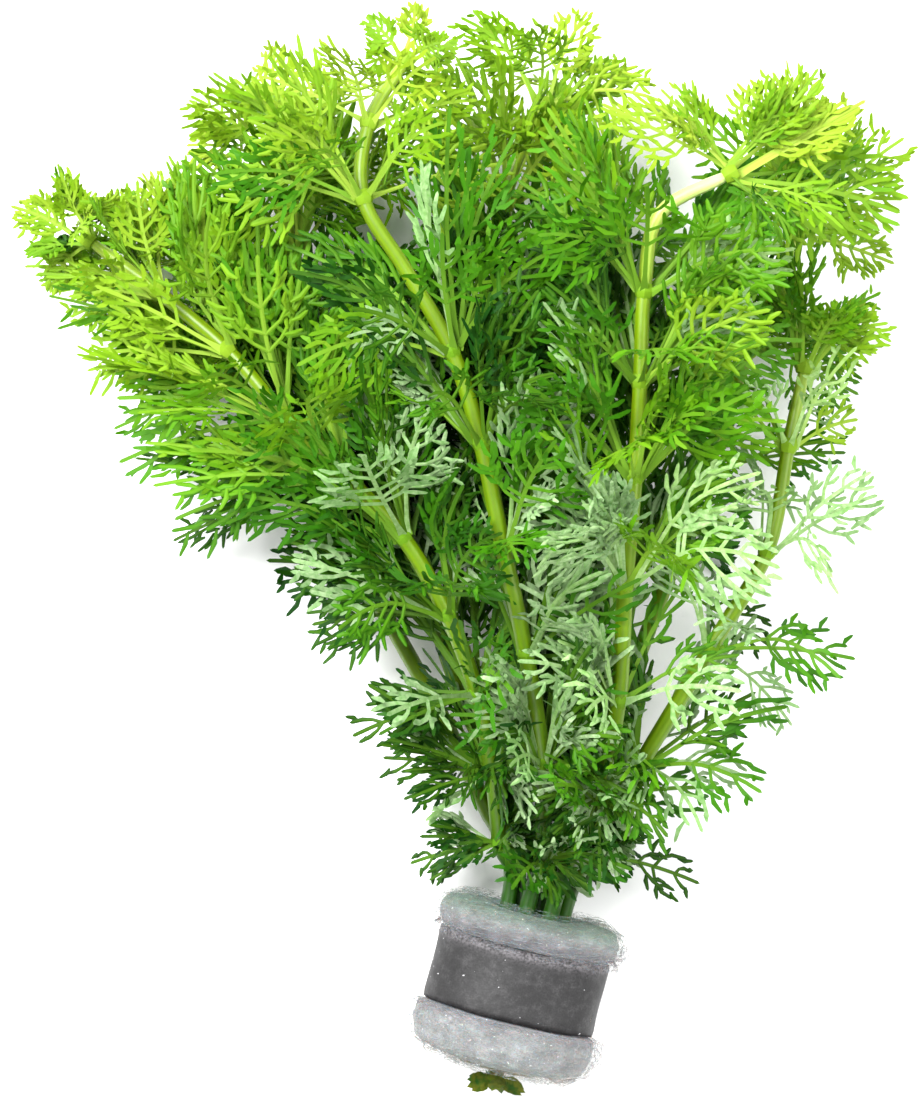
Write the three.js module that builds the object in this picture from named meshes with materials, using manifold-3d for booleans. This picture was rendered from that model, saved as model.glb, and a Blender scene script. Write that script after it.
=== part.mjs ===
// A bunch of limnophila heterophylla, an aquarium plant with whorls of finely cut leaves.
// The bare stem ends are wrapped in soft filter wool and squeezed at the waist by a lead strip.
// The bunch lies on its back: +Y runs from the cut ends to the tips, +X is its right side and
// +Z is up, away from the surface it rests on. Lengths are in millimetres.
import * as THREE from "three";
import Module from "manifold-3d";

const wasm = await Module();
wasm.setup();

// Driving sizes of the wrap round the stem ends
const WRAP_LEAN = THREE.MathUtils.degToRad(14);
const WRAP_HEIGHT = 14.2;
const STRIP_WIDTH = 15;
const STRIP_THICKNESS = 1.2;
const STRIP_HALF_WIDTH = 18;
const STRIP_HALF_DEPTH = 12.6;
const STRIP_STEPS = 22;
const STRIP_START = -75;
const STRIP_LAP = 32;
const STRIP_RAMP = 40;
const WOOL_SEGMENTS = 18;
const BORE_HALF_WIDTH = 8.5;
const BORE_HALF_DEPTH = 6.5;
const GAP = 0.3;

// Driving sizes of the plants
const STEM_RADIUS = 1.6;
const STEM_SIDES = 6;
const CUT_END = -18.8;
const STEMS_SPREAD_AT = 17.5;
const NODE_INNER_RADIUS = STEM_RADIUS + GAP;
const NODE_WALL = 0.8;
const NODE_HALF_HEIGHT = 1.1;
const BLADE_THICKNESS = 0.9;
const PETIOLE_SHARE = 0.42;
const PETIOLE_HALF_WIDTH = 0.8;
const FLAT_LEAF_HEIGHT = 0.7;
const PRESSED_ZONE = 6;
const LEAF_CLEARANCE = 0.12;
const FACING_UP = 0.8;
const UP = new THREE.Vector3(0, 0, 1);
const TRIES_PER_LEAF = 14;

const random = (() => {
  let state = 20261;
  return () => {
    state = (state * 1103515245 + 12345) % 2147483648;
    return state / 2147483648;
  };
})();
const spread = (amount) => (random() * 2 - 1) * amount;

const materials = {
  stem: new THREE.MeshStandardMaterial({ color: "#8fae3a", roughness: 0.55, metalness: 0 }),
  leaf: new THREE.MeshStandardMaterial({ color: "#5fa51c", roughness: 0.6, metalness: 0 }),
  wool: new THREE.MeshStandardMaterial({ color: "#e6ebe4", roughness: 1, metalness: 0 }),
  lead: new THREE.MeshStandardMaterial({ color: "#5f5d5f", roughness: 0.65, metalness: 0.4 }),
};

// Points that a stem passes through: bare ones, and nodes that carry a whorl of leaves.
// tilt is the angle in degrees between the stem and the base of each leaf, and tips are
// places that single leaves of the whorl reach.
const bare = (x, y, z) => ({ at: new THREE.Vector3(x, y, z) });
const whorl = (x, y, z, leaves, reach, tilt, options = {}) => ({
  ...bare(x, y, z),
  leaves,
  reach,
  tilt,
  fingers: 5,
  droop: 22,
  tips: [],
  ...options,
});
const small = { fingers: 3 };

// slot is the stem's place in the bundle: across the wrap, and up from its centre line.
// The middle stem is the longest: scraps of its lowest leaves show below the wrap.
const STEMS = {
  left: {
    slot: [-5.6, 1],
    nodes: [
      whorl(-3.4, 28.4, 18.6, 5, 20, 60, { ...small, tips: [[-22, 25, 8], [-19, 36, 14]] }),
      whorl(-5, 43, 25, 6, 25, 60, { ...small, tips: [[-27, 47, 15], [-28, 38, 8]] }),
      whorl(-8.2, 59.4, 32, 7, 29, 58, { tips: [[-34, 52, 20], [-34, 64, 34]] }),
      whorl(-14.2, 75.2, 38, 7, 32, 54, { tips: [[-42, 75, 20], [-44, 88, 40]] }),
      whorl(-23, 90.6, 40, 7, 33, 52, { tips: [[-57, 87, 22], [-54, 101, 46]] }),
      whorl(-35.4, 103.6, 40, 7, 34, 52, { tips: [[-70, 97, 24], [-65, 110, 46]] }),
      whorl(-47.4, 115.6, 38, 7, 34, 50, { tips: [[-81, 108.5, 26], [-80, 121, 34], [-44, 150, 44]] }),
      whorl(-58.5, 128.4, 35, 7, 31, 50, { tips: [[-88, 128, 24], [-84, 142, 42], [-57, 158, 38]] }),
      whorl(-73, 140.5, 31, 6, 22, 48, { ...small, tips: [[-91, 137, 22], [-78, 162, 34]] }),
      whorl(-87, 151, 26, 6, 15, 70, { ...small, tips: [[-102, 158.5, 24], [-93, 164, 30]] }),
    ],
  },
  centre_left: {
    slot: [-1.5, 4.3],
    nodes: [
      whorl(5.2, 25.6, 23.5, 5, 21, 62, small),
      whorl(5, 45.6, 36, 6, 27, 52, small),
      whorl(1.6, 67.4, 46, 7, 31, 50),
      whorl(-3, 88.6, 51, 7, 32, 50),
      whorl(-7.4, 109.4, 53, 7, 33, 50),
      whorl(-13.2, 127.6, 54, 7, 33, 52),
      bare(-22.2, 143.4, 54),
      whorl(-30.8, 158, 54, 7, 30, 58, { tips: [[-60, 165, 44], [-4, 167, 48]] }),
      whorl(-29.6, 173.2, 51, 6, 25, 58, { ...small, tips: [[-50, 184, 46], [-9, 179, 50]] }),
      whorl(-22.4, 186, 47, 7, 14, 78, {
        ...small,
        tips: [[-29.5, 195, 44], [-20, 197, 50], [-12.5, 189.5, 48]],
      }),
    ],
  },
  centre_right: {
    slot: [3.6, 3.4],
    nodes: [
      bare(12, 27, 23),
      whorl(16.4, 38, 30, 5, 25, 58, { ...small, tips: [[39, 41, 22]] }),
      whorl(20.2, 58, 42, 6, 29, 54, small),
      whorl(21.4, 81.4, 50, 7, 32, 52),
      whorl(23.2, 102.6, 53, 7, 33, 52),
      whorl(24.2, 121.5, 55, 7, 33, 54),
      whorl(25, 139.4, 56, 7, 33, 54, { tips: [[54, 150, 52], [2, 163, 52], [13, 172, 46]] }),
      bare(28, 154.5, 57),
      whorl(42, 162.5, 58, 8, 33, 82, {
        tips: [
          [77, 158, 44],
          [75, 169, 52],
          [66, 181, 50],
          [68, 142, 42],
          [52, 181, 60],
          [38, 187, 50],
          [18, 178, 56],
        ],
      }),
    ],
  },
  right: {
    slot: [6.2, -0.2],
    nodes: [
      whorl(15.4, 26.4, 17, 5, 21, 62, { ...small, tips: [[38, 21, 8], [36, 33, 12]] }),
      whorl(25.4, 45, 26, 6, 27, 58, { ...small, tips: [[49, 37, 12], [48, 60, 20]] }),
      whorl(39.2, 68.6, 34, 7, 31, 54, { tips: [[69, 68, 22], [58, 52, 18]] }),
      whorl(50.4, 88, 36, 7, 30, 50, { tips: [[70, 105, 34], [73, 101, 20]] }),
      whorl(54.6, 109, 36, 7, 26, 50, { tips: [[66, 131, 36], [69, 116, 22]] }),
      whorl(58, 125, 34, 6, 20, 46, { ...small, tips: [[71, 139, 28], [50, 148, 40]] }),
    ],
  },
  back_centre: {
    slot: [0.6, 0],
    cutEnd: -20.6,
    scraps: { leaves: 5, reach: 6, tilt: 100, droop: 10, fingers: 3, tips: [] },
    nodes: [
      bare(5.4, 34, 17.5),
      bare(6, 61, 22),
      whorl(7, 86, 25, 6, 32, 56, small),
      whorl(6, 110, 28, 6, 32, 56, small),
      whorl(2, 134, 30, 6, 32, 54, { ...small, tips: [[18, 160, 30], [-16, 160, 26]] }),
      whorl(-2.4, 158, 31, 6, 30, 50, { ...small, tips: [[-10, 188, 30], [22, 170, 26]] }),
      whorl(5, 178.4, 31, 7, 22, 52, {
        ...small,
        tips: [[13, 197, 32], [-6, 196, 26], [24, 188, 22]],
      }),
    ],
  },
  back_left: {
    slot: [-0.4, -4.3],
    nodes: [
      bare(-0.8, 36, 11.5),
      bare(-10.5, 56, 13),
      whorl(-19, 80, 15, 6, 31, 56, small),
      whorl(-29, 104, 16.5, 6, 31, 56, small),
      whorl(-38.5, 127, 18, 6, 31, 54, { ...small, tips: [[-20, 152, 18]] }),
      whorl(-45.6, 149, 21, 6, 30, 50, { ...small, tips: [[-70, 167, 14], [-27, 172, 20], [-38, 175, 12]] }),
      whorl(-49.6, 168.4, 24, 7, 23, 50, {
        ...small,
        tips: [[-50.2, 191.4, 24], [-67, 172, 18], [-65, 181, 28], [-35, 184, 22]],
      }),
    ],
  },
  back_right: {
    slot: [3.4, -3.6],
    nodes: [
      bare(14, 36, 12),
      bare(21.5, 57, 13.5),
      whorl(30.5, 81, 16, 6, 31, 56, { ...small, tips: [[53, 70, 8]] }),
      whorl(39, 105, 18, 6, 31, 54, { ...small, tips: [[67, 110, 12]] }),
      whorl(47.5, 129, 20, 6, 31, 54, { ...small, tips: [[73, 137, 14], [72, 122, 12]] }),
      whorl(57, 152.5, 23, 7, 28, 50, {
        ...small,
        tips: [[63, 179, 26], [77, 173, 24], [40, 177, 22], [77, 148, 20]],
      }),
    ],
  },
  far_left: {
    slot: [-3.8, -3.2],
    nodes: [
      bare(-6.8, 36, 10),
      bare(-16.5, 56, 9.8),
      bare(-29, 78, 11),
      whorl(-44, 100, 13, 6, 30, 54, { ...small, tips: [[-71, 92, 7]] }),
      whorl(-57, 121, 14, 6, 29, 52, { ...small, tips: [[-83, 115, 8], [-84, 131, 12]] }),
      whorl(-66, 145, 16, 7, 24, 48, {
        ...small,
        tips: [[-75, 166, 12], [-66, 169, 16], [-86, 154, 10]],
      }),
    ],
  },
};

// A solid's geometry from its points and its triangles.
function geometryOf(points, triangles) {
  const geometry = new THREE.BufferGeometry().setFromPoints(points);
  geometry.setIndex(triangles.flat());
  geometry.computeVertexNormals();
  return geometry;
}

// The closed solid of a geometry, for the test of whether a new leaf has room.
function solidOf(points, triangles) {
  const solid = new wasm.Manifold(
    new wasm.Mesh({
      numProp: 3,
      vertProperties: new Float32Array(points.flatMap((point) => point.toArray())),
      triVerts: new Uint32Array(triangles.flat()),
    }),
  );
  return { solid, box: new THREE.Box3().setFromPoints(points) };
}

// The wrap's own axes: across it, up from the surface, and along it towards the tips.
const wrapAcross = new THREE.Vector3(Math.cos(WRAP_LEAN), -Math.sin(WRAP_LEAN), 0);
const wrapAlong = new THREE.Vector3(Math.sin(WRAP_LEAN), Math.cos(WRAP_LEAN), 0);
const inBundle = (slot, along) =>
  new THREE.Vector3(0, 0, WRAP_HEIGHT + slot[1])
    .addScaledVector(wrapAcross, slot[0])
    .addScaledVector(wrapAlong, along);

// The wool is a thick sleeve: two soft lips, a waist under the strip and a bore for the stems.
function woolGeometry() {
  const waistWidth = STRIP_HALF_WIDTH - STRIP_THICKNESS - GAP;
  const waistDepth = STRIP_HALF_DEPTH - STRIP_THICKNESS - GAP;
  const halfStrip = STRIP_WIDTH / 2 + GAP;
  const stations = [
    [BORE_HALF_WIDTH, BORE_HALF_DEPTH, -17],
    [14.5, 11.6, -17.9],
    [18.2, 14.6, -15.9],
    [19.9, 15.9, -12],
    [19.4, 15.4, -halfStrip - 0.6],
    [waistWidth, waistDepth, -halfStrip],
    [waistWidth, waistDepth, halfStrip],
    [19.2, 15.3, halfStrip + 0.6],
    [19.8, 15.8, 11.2],
    [18.4, 14.8, 14.6],
    [14.6, 11.8, 16.4],
    [BORE_HALF_WIDTH, BORE_HALF_DEPTH, 15.6],
  ];
  const profile = stations.map(([halfWidth, , along]) => new THREE.Vector2(halfWidth, along));
  profile.push(profile[0].clone());
  const sleeve = new THREE.LatheGeometry(profile, WOOL_SEGMENTS);
  const position = sleeve.getAttribute("position");
  for (let i = 0; i < position.count; i++) {
    const [halfWidth, halfDepth] = stations[(i % profile.length) % stations.length];
    const depth = (position.getZ(i) * halfDepth) / halfWidth;
    position.setZ(i, Math.max(depth, -WRAP_HEIGHT));
  }
  return sleeve;
}

// The strip is wound once round the waist, and its end laps over its start underneath.
function stripGeometry() {
  const turn = 360 + STRIP_LAP;
  const inner = [];
  const outer = [];
  for (let i = 0; i <= STRIP_STEPS; i++) {
    const wound = (turn * i) / STRIP_STEPS;
    const angle = THREE.MathUtils.degToRad(STRIP_START + wound);
    const lift = (STRIP_THICKNESS + GAP) * THREE.MathUtils.smoothstep(wound, 360 - STRIP_RAMP, 360);
    const point = (offset) =>
      new THREE.Vector2(
        (STRIP_HALF_WIDTH + offset) * Math.cos(angle),
        (STRIP_HALF_DEPTH + offset) * Math.sin(angle),
      );
    outer.push(point(lift));
    inner.push(point(lift - STRIP_THICKNESS));
  }
  const outline = new THREE.Shape([...outer, ...inner.reverse()]);
  const strip = new THREE.ExtrudeGeometry(outline, { depth: STRIP_WIDTH, bevelEnabled: false });
  return strip.translate(0, 0, -STRIP_WIDTH / 2);
}

// A curve whose rings stand at the stem's own points, whatever the distance between them.
class StemCurve extends THREE.CatmullRomCurve3 {
  getUtoTmapping(share) {
    return share;
  }
}

function stemCurve({ slot, nodes, cutEnd = CUT_END }) {
  const inWrap = [inBundle(slot, cutEnd), inBundle(slot, STEMS_SPREAD_AT)];
  return new StemCurve([...inWrap, ...nodes.map((node) => node.at)], false, "centripetal");
}

function stemGeometry(curve) {
  const section = new THREE.Shape();
  for (let i = 0; i < STEM_SIDES; i++) {
    const angle = (2 * Math.PI * i) / STEM_SIDES;
    const x = STEM_RADIUS * Math.cos(angle);
    const y = STEM_RADIUS * Math.sin(angle);
    if (i === 0) section.moveTo(x, y);
    else section.lineTo(x, y);
  }
  section.closePath();
  return new THREE.ExtrudeGeometry(section, {
    steps: curve.points.length - 1,
    extrudePath: curve,
    bevelEnabled: false,
  });
}

// The swollen node that a whorl grows from: a ring with one flat face for each leaf.
function nodeRing(centre, axis, count) {
  const side = new THREE.Vector3(0, 0, 1).cross(axis).normalize();
  const front = axis.clone().cross(side);
  const flatToCorner = 1 / Math.cos(Math.PI / count);
  const inner = NODE_INNER_RADIUS * flatToCorner;
  const outer = (NODE_INNER_RADIUS + NODE_WALL) * flatToCorner;
  const phase = spread(Math.PI / count);
  const azimuth = (i) => phase + (2 * Math.PI * i) / count;
  const outward = (angle) =>
    side.clone().multiplyScalar(Math.cos(angle)).addScaledVector(front, Math.sin(angle));
  const points = [];
  for (let i = 0; i < count; i++)
    for (const radius of [inner, outer])
      for (const height of [NODE_HALF_HEIGHT, -NODE_HALF_HEIGHT])
        points.push(
          centre
            .clone()
            .addScaledVector(outward(azimuth(i)), radius)
            .addScaledVector(axis, height),
        );
  // Numbers of the corners at one azimuth: inside top and bottom, outside top and bottom.
  const corners = (i) => [0, 1, 2, 3].map((k) => (i % count) * 4 + k);
  const triangles = [];
  for (let i = 0; i < count; i++) {
    const [insideTop, insideBottom, top, bottom] = corners(i);
    const [nextInsideTop, nextInsideBottom, nextTop, nextBottom] = corners(i + 1);
    triangles.push([insideTop, top, nextTop], [insideTop, nextTop, nextInsideTop]);
    triangles.push([insideBottom, nextBottom, bottom], [insideBottom, nextInsideBottom, nextBottom]);
    triangles.push([insideTop, nextInsideTop, nextInsideBottom]);
    triangles.push([insideTop, nextInsideBottom, insideBottom]);
  }
  const face = (i) => {
    const [, , top, bottom] = corners(i);
    const [, , nextTop, nextBottom] = corners(i + 1);
    return [top, nextTop, nextBottom, bottom];
  };
  const plainFace = (i) => {
    const [top, nextTop, nextBottom, bottom] = face(i);
    return [[top, bottom, nextBottom], [top, nextBottom, nextTop]];
  };
  return { centre, axis, count, outward, azimuth, points, triangles, face, plainFace };
}

// Fingers of a leaf, as the angle from its midline in degrees and the share of its blade's length.
const FINGERS = {
  3: [[-46, 0.8], [0, 1], [46, 0.8]],
  5: [[-74, 0.62], [-36, 0.86], [0, 1], [36, 0.86], [74, 0.62]],
};
const NOTCH_REACH = 0.4;
const HEEL_ANGLE = 125;

// Keeps a point above the surface: what would go below it is pressed flat against it.
function pressed(point) {
  const room = PRESSED_ZONE - FLAT_LEAF_HEIGHT;
  if (point.z < PRESSED_ZONE) point.z = FLAT_LEAF_HEIGHT + room * Math.exp((point.z - PRESSED_ZONE) / room);
  return point;
}

// One leaf: a flattened petiole, and a blade cut into fingers that arches away from the stem.
// facing says how far the petiole turns the blade's broad side up, away from the surface.
function leafShape(ring, { angle, tilt, reach, droop, twist, facing, fingers }) {
  const radial = ring.outward(angle);
  const direction = (degrees) => {
    const turn = THREE.MathUtils.degToRad(degrees);
    return ring.axis.clone().multiplyScalar(Math.cos(turn)).addScaledVector(radial, Math.sin(turn));
  };
  const forward = direction(tilt + droop * 0.6);
  const arching = forward.clone().cross(ring.axis.clone().cross(radial)).negate();
  const grown = ring.axis.clone().cross(radial);
  const lying = UP.clone().cross(forward);
  if (lying.dot(grown) < 0) lying.negate();
  const across = grown.clone().multiplyScalar(1 - facing).addScaledVector(lying, facing);
  across.addScaledVector(forward, -across.dot(forward)).normalize();
  across.applyAxisAngle(forward, THREE.MathUtils.degToRad(twist));
  const upper = forward.clone().cross(across);
  const turned = Math.atan2(across.dot(forward.clone().cross(grown)), across.dot(grown));
  const hub = pressed(
    ring.centre.clone().addScaledVector(direction(tilt + droop * 0.1), reach * PETIOLE_SHARE),
  );
  const blade = reach * (1 - PETIOLE_SHARE);
  const outlinePoint = (degrees, share) => {
    const turn = THREE.MathUtils.degToRad(degrees);
    const sag = share * share * blade * Math.sin(THREE.MathUtils.degToRad(droop)) * 0.5;
    return pressed(
      hub
        .clone()
        .addScaledVector(forward, share * blade * Math.cos(turn))
        .addScaledVector(across, share * blade * Math.sin(turn))
        .addScaledVector(arching, sag),
    );
  };
  const heelShare = PETIOLE_HALF_WIDTH / blade;
  const outline = [outlinePoint(-HEEL_ANGLE, heelShare)];
  FINGERS[fingers].forEach(([degrees, share], i, all) => {
    outline.push(outlinePoint(degrees, share));
    if (i < all.length - 1) outline.push(outlinePoint((degrees + all[i + 1][0]) / 2, NOTCH_REACH));
  });
  outline.push(outlinePoint(HEEL_ANGLE, heelShare));
  const halfThick = BLADE_THICKNESS / 2;
  const points = [
    hub.clone().addScaledVector(upper, halfThick),
    hub.clone().addScaledVector(upper, -halfThick),
    ...outline,
  ];
  return { points, quarterTurns: Math.round(turned / (Math.PI / 2)) };
}

// A leaf's triangles, for points that start at number first and grow from a face of the ring.
// The petiole joins the face's four corners to the four points round the hub of the blade.
function leafTriangles(corners, first, { points, quarterTurns }) {
  const [above, below, heel] = [first, first + 1, first + 2];
  const otherHeel = first + points.length - 1;
  const roundHub = [above, otherHeel, below, heel];
  const hubPoint = (i) => roundHub[(i + quarterTurns + 8) % 4];
  const triangles = corners.flatMap((corner, i) => [
    [corner, hubPoint(i), corners[(i + 1) % 4]],
    [corner, hubPoint(i - 1), hubPoint(i)],
  ]);
  for (let i = heel; i < otherHeel; i++) {
    triangles.push([above, i, i + 1]);
    triangles.push([below, i + 1, i]);
  }
  return triangles;
}

// The leaf alone as a closed solid: its petiole's base is capped by the ring's face.
function leafSolid(ring, slot, shape) {
  const base = ring.face(slot).map((i) => ring.points[i]);
  const triangles = leafTriangles([0, 1, 2, 3], base.length, shape);
  triangles.push([0, 1, 2], [0, 2, 3]);
  return solidOf([...base, ...shape.points], triangles);
}

// True where a new leaf keeps its distance from all that stands already.
function hasRoom(leaf, standing, owner) {
  const reach = leaf.box.clone().expandByScalar(LEAF_CLEARANCE);
  for (const other of standing) {
    if (!reach.intersectsBox(other.box)) continue;
    if (other.ring === owner) continue;
    if (other.owner === owner) {
      if (leaf.solid.intersect(other.solid).volume() > 0) return false;
    } else if (leaf.solid.minGap(other.solid, LEAF_CLEARANCE) < LEAF_CLEARANCE) return false;
  }
  return true;
}

// What a leaf needs to reach a given place: its direction round the stem, its tilt and its length.
function aim(ring, tip) {
  const way = new THREE.Vector3(...tip).sub(ring.centre);
  const alongAxis = way.dot(ring.axis);
  const radial = way.clone().addScaledVector(ring.axis, -alongAxis);
  const right = radial.dot(ring.outward(0));
  const front = radial.dot(ring.outward(Math.PI / 2));
  return {
    angle: Math.atan2(front, right),
    tilt: THREE.MathUtils.radToDeg(Math.atan2(radial.length(), alongAxis)),
    reach: way.length(),
  };
}

const turnOfBlade = (node) => ({
  twist: spread(24),
  facing: FACING_UP + spread(1 - FACING_UP),
  fingers: node.fingers,
});

// The leaves of one node: aimed ones take the nearest free faces of the ring, the rest follow.
function plannedLeaves(ring, node) {
  const free = [...Array(ring.count).keys()];
  const faceAngle = (slot) => (ring.azimuth(slot) + ring.azimuth(slot + 1)) / 2;
  const planned = node.tips.map((tip) => {
    const aimed = aim(ring, tip);
    const offset = (slot) => 1 - Math.cos(faceAngle(slot) - aimed.angle);
    free.sort((one, other) => offset(one) - offset(other));
    return { slot: free.shift(), droop: 6, ...turnOfBlade(node), ...aimed };
  });
  for (const slot of free.sort((one, other) => one - other)) {
    planned.push({
      slot,
      angle: faceAngle(slot) + spread(0.12),
      tilt: node.tilt + spread(9),
      reach: node.reach * (1 + spread(0.1)),
      droop: node.droop * (1 + spread(0.7)),
      ...turnOfBlade(node),
    });
  }
  return planned;
}

// Turns, bends and finally shortens a leaf until it has room; a leaf that finds none is left out.
function growLeaf(ring, leaf, standing) {
  for (let attempt = 0; attempt < TRIES_PER_LEAF; attempt++) {
    const loose = attempt / TRIES_PER_LEAF;
    const trial = {
      ...leaf,
      angle: leaf.angle + spread(0.35 * loose),
      tilt: leaf.tilt + spread(26 * loose),
      twist: leaf.twist + spread(40 * loose),
      droop: leaf.droop + spread(20 * loose),
      reach: leaf.reach * (1 - 0.2 * loose),
    };
    const shape = leafShape(ring, trial);
    const alone = leafSolid(ring, leaf.slot, shape);
    if (hasRoom(alone, standing, ring)) {
      standing.push({ ...alone, owner: ring });
      return shape;
    }
  }
  return null;
}

function whorlGeometry(ring, node, standing) {
  const points = [...ring.points];
  const triangles = [...ring.triangles];
  for (const leaf of plannedLeaves(ring, node)) {
    const grown = growLeaf(ring, leaf, standing);
    if (grown) {
      triangles.push(...leafTriangles(ring.face(leaf.slot), points.length, grown));
      points.push(...grown.points);
    } else triangles.push(...ring.plainFace(leaf.slot));
  }
  return geometryOf(points, triangles);
}

// The closed solid of a finished mesh, as an obstacle for the leaves.
function obstacle(mesh) {
  mesh.updateWorldMatrix(true, false);
  const geometry = mesh.geometry.index ? mesh.geometry.toNonIndexed() : mesh.geometry.clone();
  const position = geometry.getAttribute("position");
  const points = [];
  const triangles = [];
  const known = new Map();
  const corners = [];
  for (let i = 0; i < position.count; i++) {
    const point = new THREE.Vector3().fromBufferAttribute(position, i).applyMatrix4(mesh.matrixWorld);
    const key = point.toArray().map((value) => Math.round(value * 1000)).join();
    if (!known.has(key)) {
      known.set(key, points.length);
      points.push(point);
    }
    corners.push(known.get(key));
  }
  for (let i = 0; i < corners.length; i += 3) {
    const [a, b, c] = corners.slice(i, i + 3);
    if (a !== b && b !== c && c !== a) triangles.push([a, b, c]);
  }
  return solidOf(points, triangles);
}

function namedMesh(name, geometry, material) {
  const mesh = new THREE.Mesh(geometry, material);
  mesh.name = name;
  return mesh;
}

const bunch = new THREE.Group();

const wrap = new THREE.Group();
wrap.position.z = WRAP_HEIGHT;
wrap.rotation.z = -WRAP_LEAN;
bunch.add(wrap);
const wool = namedMesh("wool_wrap", woolGeometry(), materials.wool);
const strip = namedMesh("lead_strip", stripGeometry(), materials.lead);
strip.rotation.x = Math.PI / 2;
wrap.add(wool, strip);

const curves = new Map();
for (const [name, stem] of Object.entries(STEMS)) {
  const curve = stemCurve(stem);
  curves.set(name, curve);
  bunch.add(namedMesh(`stem_${name}`, stemGeometry(curve), materials.stem));
}
const standing = bunch.children.flatMap((child) => (child === wrap ? [wool, strip] : [child])).map(obstacle);

// The rings of all nodes stand before the first leaf grows, so no leaf crosses one.
const nodes = [];
function addNode(name, node, centre, axis) {
  const ring = nodeRing(centre, axis, node.leaves);
  const plainFaces = [...Array(ring.count).keys()].flatMap(ring.plainFace);
  standing.push({ ...solidOf(ring.points, [...ring.triangles, ...plainFaces]), ring });
  nodes.push({ name, ring, node });
}
for (const [name, stem] of Object.entries(STEMS)) {
  const curve = curves.get(name);
  const inWrap = curve.points.length - stem.nodes.length;
  const leafy = stem.nodes.filter((node) => node.leaves);
  leafy.forEach((node, i) => {
    const share = (inWrap + stem.nodes.indexOf(node)) / (curve.points.length - 1);
    addNode(`whorl_${name}_${i + 1}`, node, node.at, curve.getTangent(share));
  });
  if (stem.scraps) addNode("leaf_scraps", stem.scraps, curve.points[0], curve.getTangent(0));
}
for (const { name, ring, node } of nodes)
  bunch.add(namedMesh(name, whorlGeometry(ring, node, standing), materials.leaf));

// The origin is on the surface, under the middle of the bunch.
bunch.updateMatrixWorld(true);
const extent = new THREE.Box3().setFromObject(bunch, true);
const middle = extent.getCenter(new THREE.Vector3());
bunch.position.set(-middle.x, -middle.y, -extent.min.z);

export default bunch;
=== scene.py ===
# %% [markdown]
# # A bunch of limnophila heterophylla
# A bunch of cut aquarium plant stems, with whorls of finely divided leaves, lies on its back on a
# pale surface. Soft filter wool wraps the cut ends, and a lead strip squeezes it at the waist.
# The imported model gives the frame: stems, leaf whorls, wool and strip, in metres, with +Y running
# from the cut ends to the tips and +Z up from the surface. This script grows the fine surface on it.

import math

import bpy
import numpy as np
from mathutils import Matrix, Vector


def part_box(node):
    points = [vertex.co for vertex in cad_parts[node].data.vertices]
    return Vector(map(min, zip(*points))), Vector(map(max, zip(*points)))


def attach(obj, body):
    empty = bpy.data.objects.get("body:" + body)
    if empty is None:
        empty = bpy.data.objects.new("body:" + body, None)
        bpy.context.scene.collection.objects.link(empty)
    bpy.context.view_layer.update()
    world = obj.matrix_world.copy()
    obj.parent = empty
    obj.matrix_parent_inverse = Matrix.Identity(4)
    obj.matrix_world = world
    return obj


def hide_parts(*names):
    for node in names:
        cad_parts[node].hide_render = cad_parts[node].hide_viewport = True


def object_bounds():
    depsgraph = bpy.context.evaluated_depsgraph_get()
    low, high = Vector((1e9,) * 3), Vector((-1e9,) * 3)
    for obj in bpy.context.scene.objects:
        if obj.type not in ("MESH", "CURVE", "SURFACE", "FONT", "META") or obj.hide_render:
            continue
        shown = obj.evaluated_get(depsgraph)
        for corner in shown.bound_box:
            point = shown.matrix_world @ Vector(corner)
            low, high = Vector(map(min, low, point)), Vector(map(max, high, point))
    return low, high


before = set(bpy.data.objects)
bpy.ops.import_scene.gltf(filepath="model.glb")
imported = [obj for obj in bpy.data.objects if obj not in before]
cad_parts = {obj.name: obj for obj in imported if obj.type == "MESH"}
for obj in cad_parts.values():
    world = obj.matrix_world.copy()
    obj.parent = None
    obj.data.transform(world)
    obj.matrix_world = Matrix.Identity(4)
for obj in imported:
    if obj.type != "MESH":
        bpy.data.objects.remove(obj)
cad_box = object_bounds()
MM = 0.001
rng = np.random.default_rng(4107)
print("nodes", len(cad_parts), "box", [round((hi - lo) / MM) for lo, hi in zip(*cad_box)])

# %% [markdown]
# ## Helpers for meshes
# Stems, leaf lobes and wool fibres are all rings of points joined into closed skins. One function
# turns arrays of points and faces into a Blender mesh, so each piece below is only arithmetic.


# %% Meshes from arrays
def unit(v):
    """Vectors scaled to length one."""
    return v / np.maximum(np.linalg.norm(v, axis=-1, keepdims=True), 1e-12)


def piece(name, points, faces, replaced, attributes=None, smooth=True):
    """A mesh that rides on the root body. faces is a list of arrays, each of one corner count."""
    mesh = bpy.data.meshes.new(name)
    corners = np.concatenate([f.reshape(-1) for f in faces])
    counts = np.concatenate([np.full(len(f), f.shape[1]) for f in faces])
    mesh.vertices.add(len(points))
    mesh.vertices.foreach_set("co", np.asarray(points, dtype=np.float32).reshape(-1))
    mesh.loops.add(len(corners))
    mesh.loops.foreach_set("vertex_index", corners.astype(np.int32))
    mesh.polygons.add(len(counts))
    starts = np.concatenate([[0], np.cumsum(counts)[:-1]])
    mesh.polygons.foreach_set("loop_start", starts.astype(np.int32))
    mesh.polygons.foreach_set("use_smooth", np.full(len(counts), smooth))
    mesh.update(calc_edges=True)
    for key, (domain, values) in (attributes or {}).items():
        mesh.attributes.new(key, "FLOAT", domain)
        mesh.attributes[key].data.foreach_set("value", np.asarray(values, dtype=np.float32))
    mesh.validate()
    made = bpy.data.objects.new(name, mesh)
    bpy.context.scene.collection.objects.link(made)
    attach(made, "root")
    if replaced:
        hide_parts(*replaced)
    return made


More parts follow.
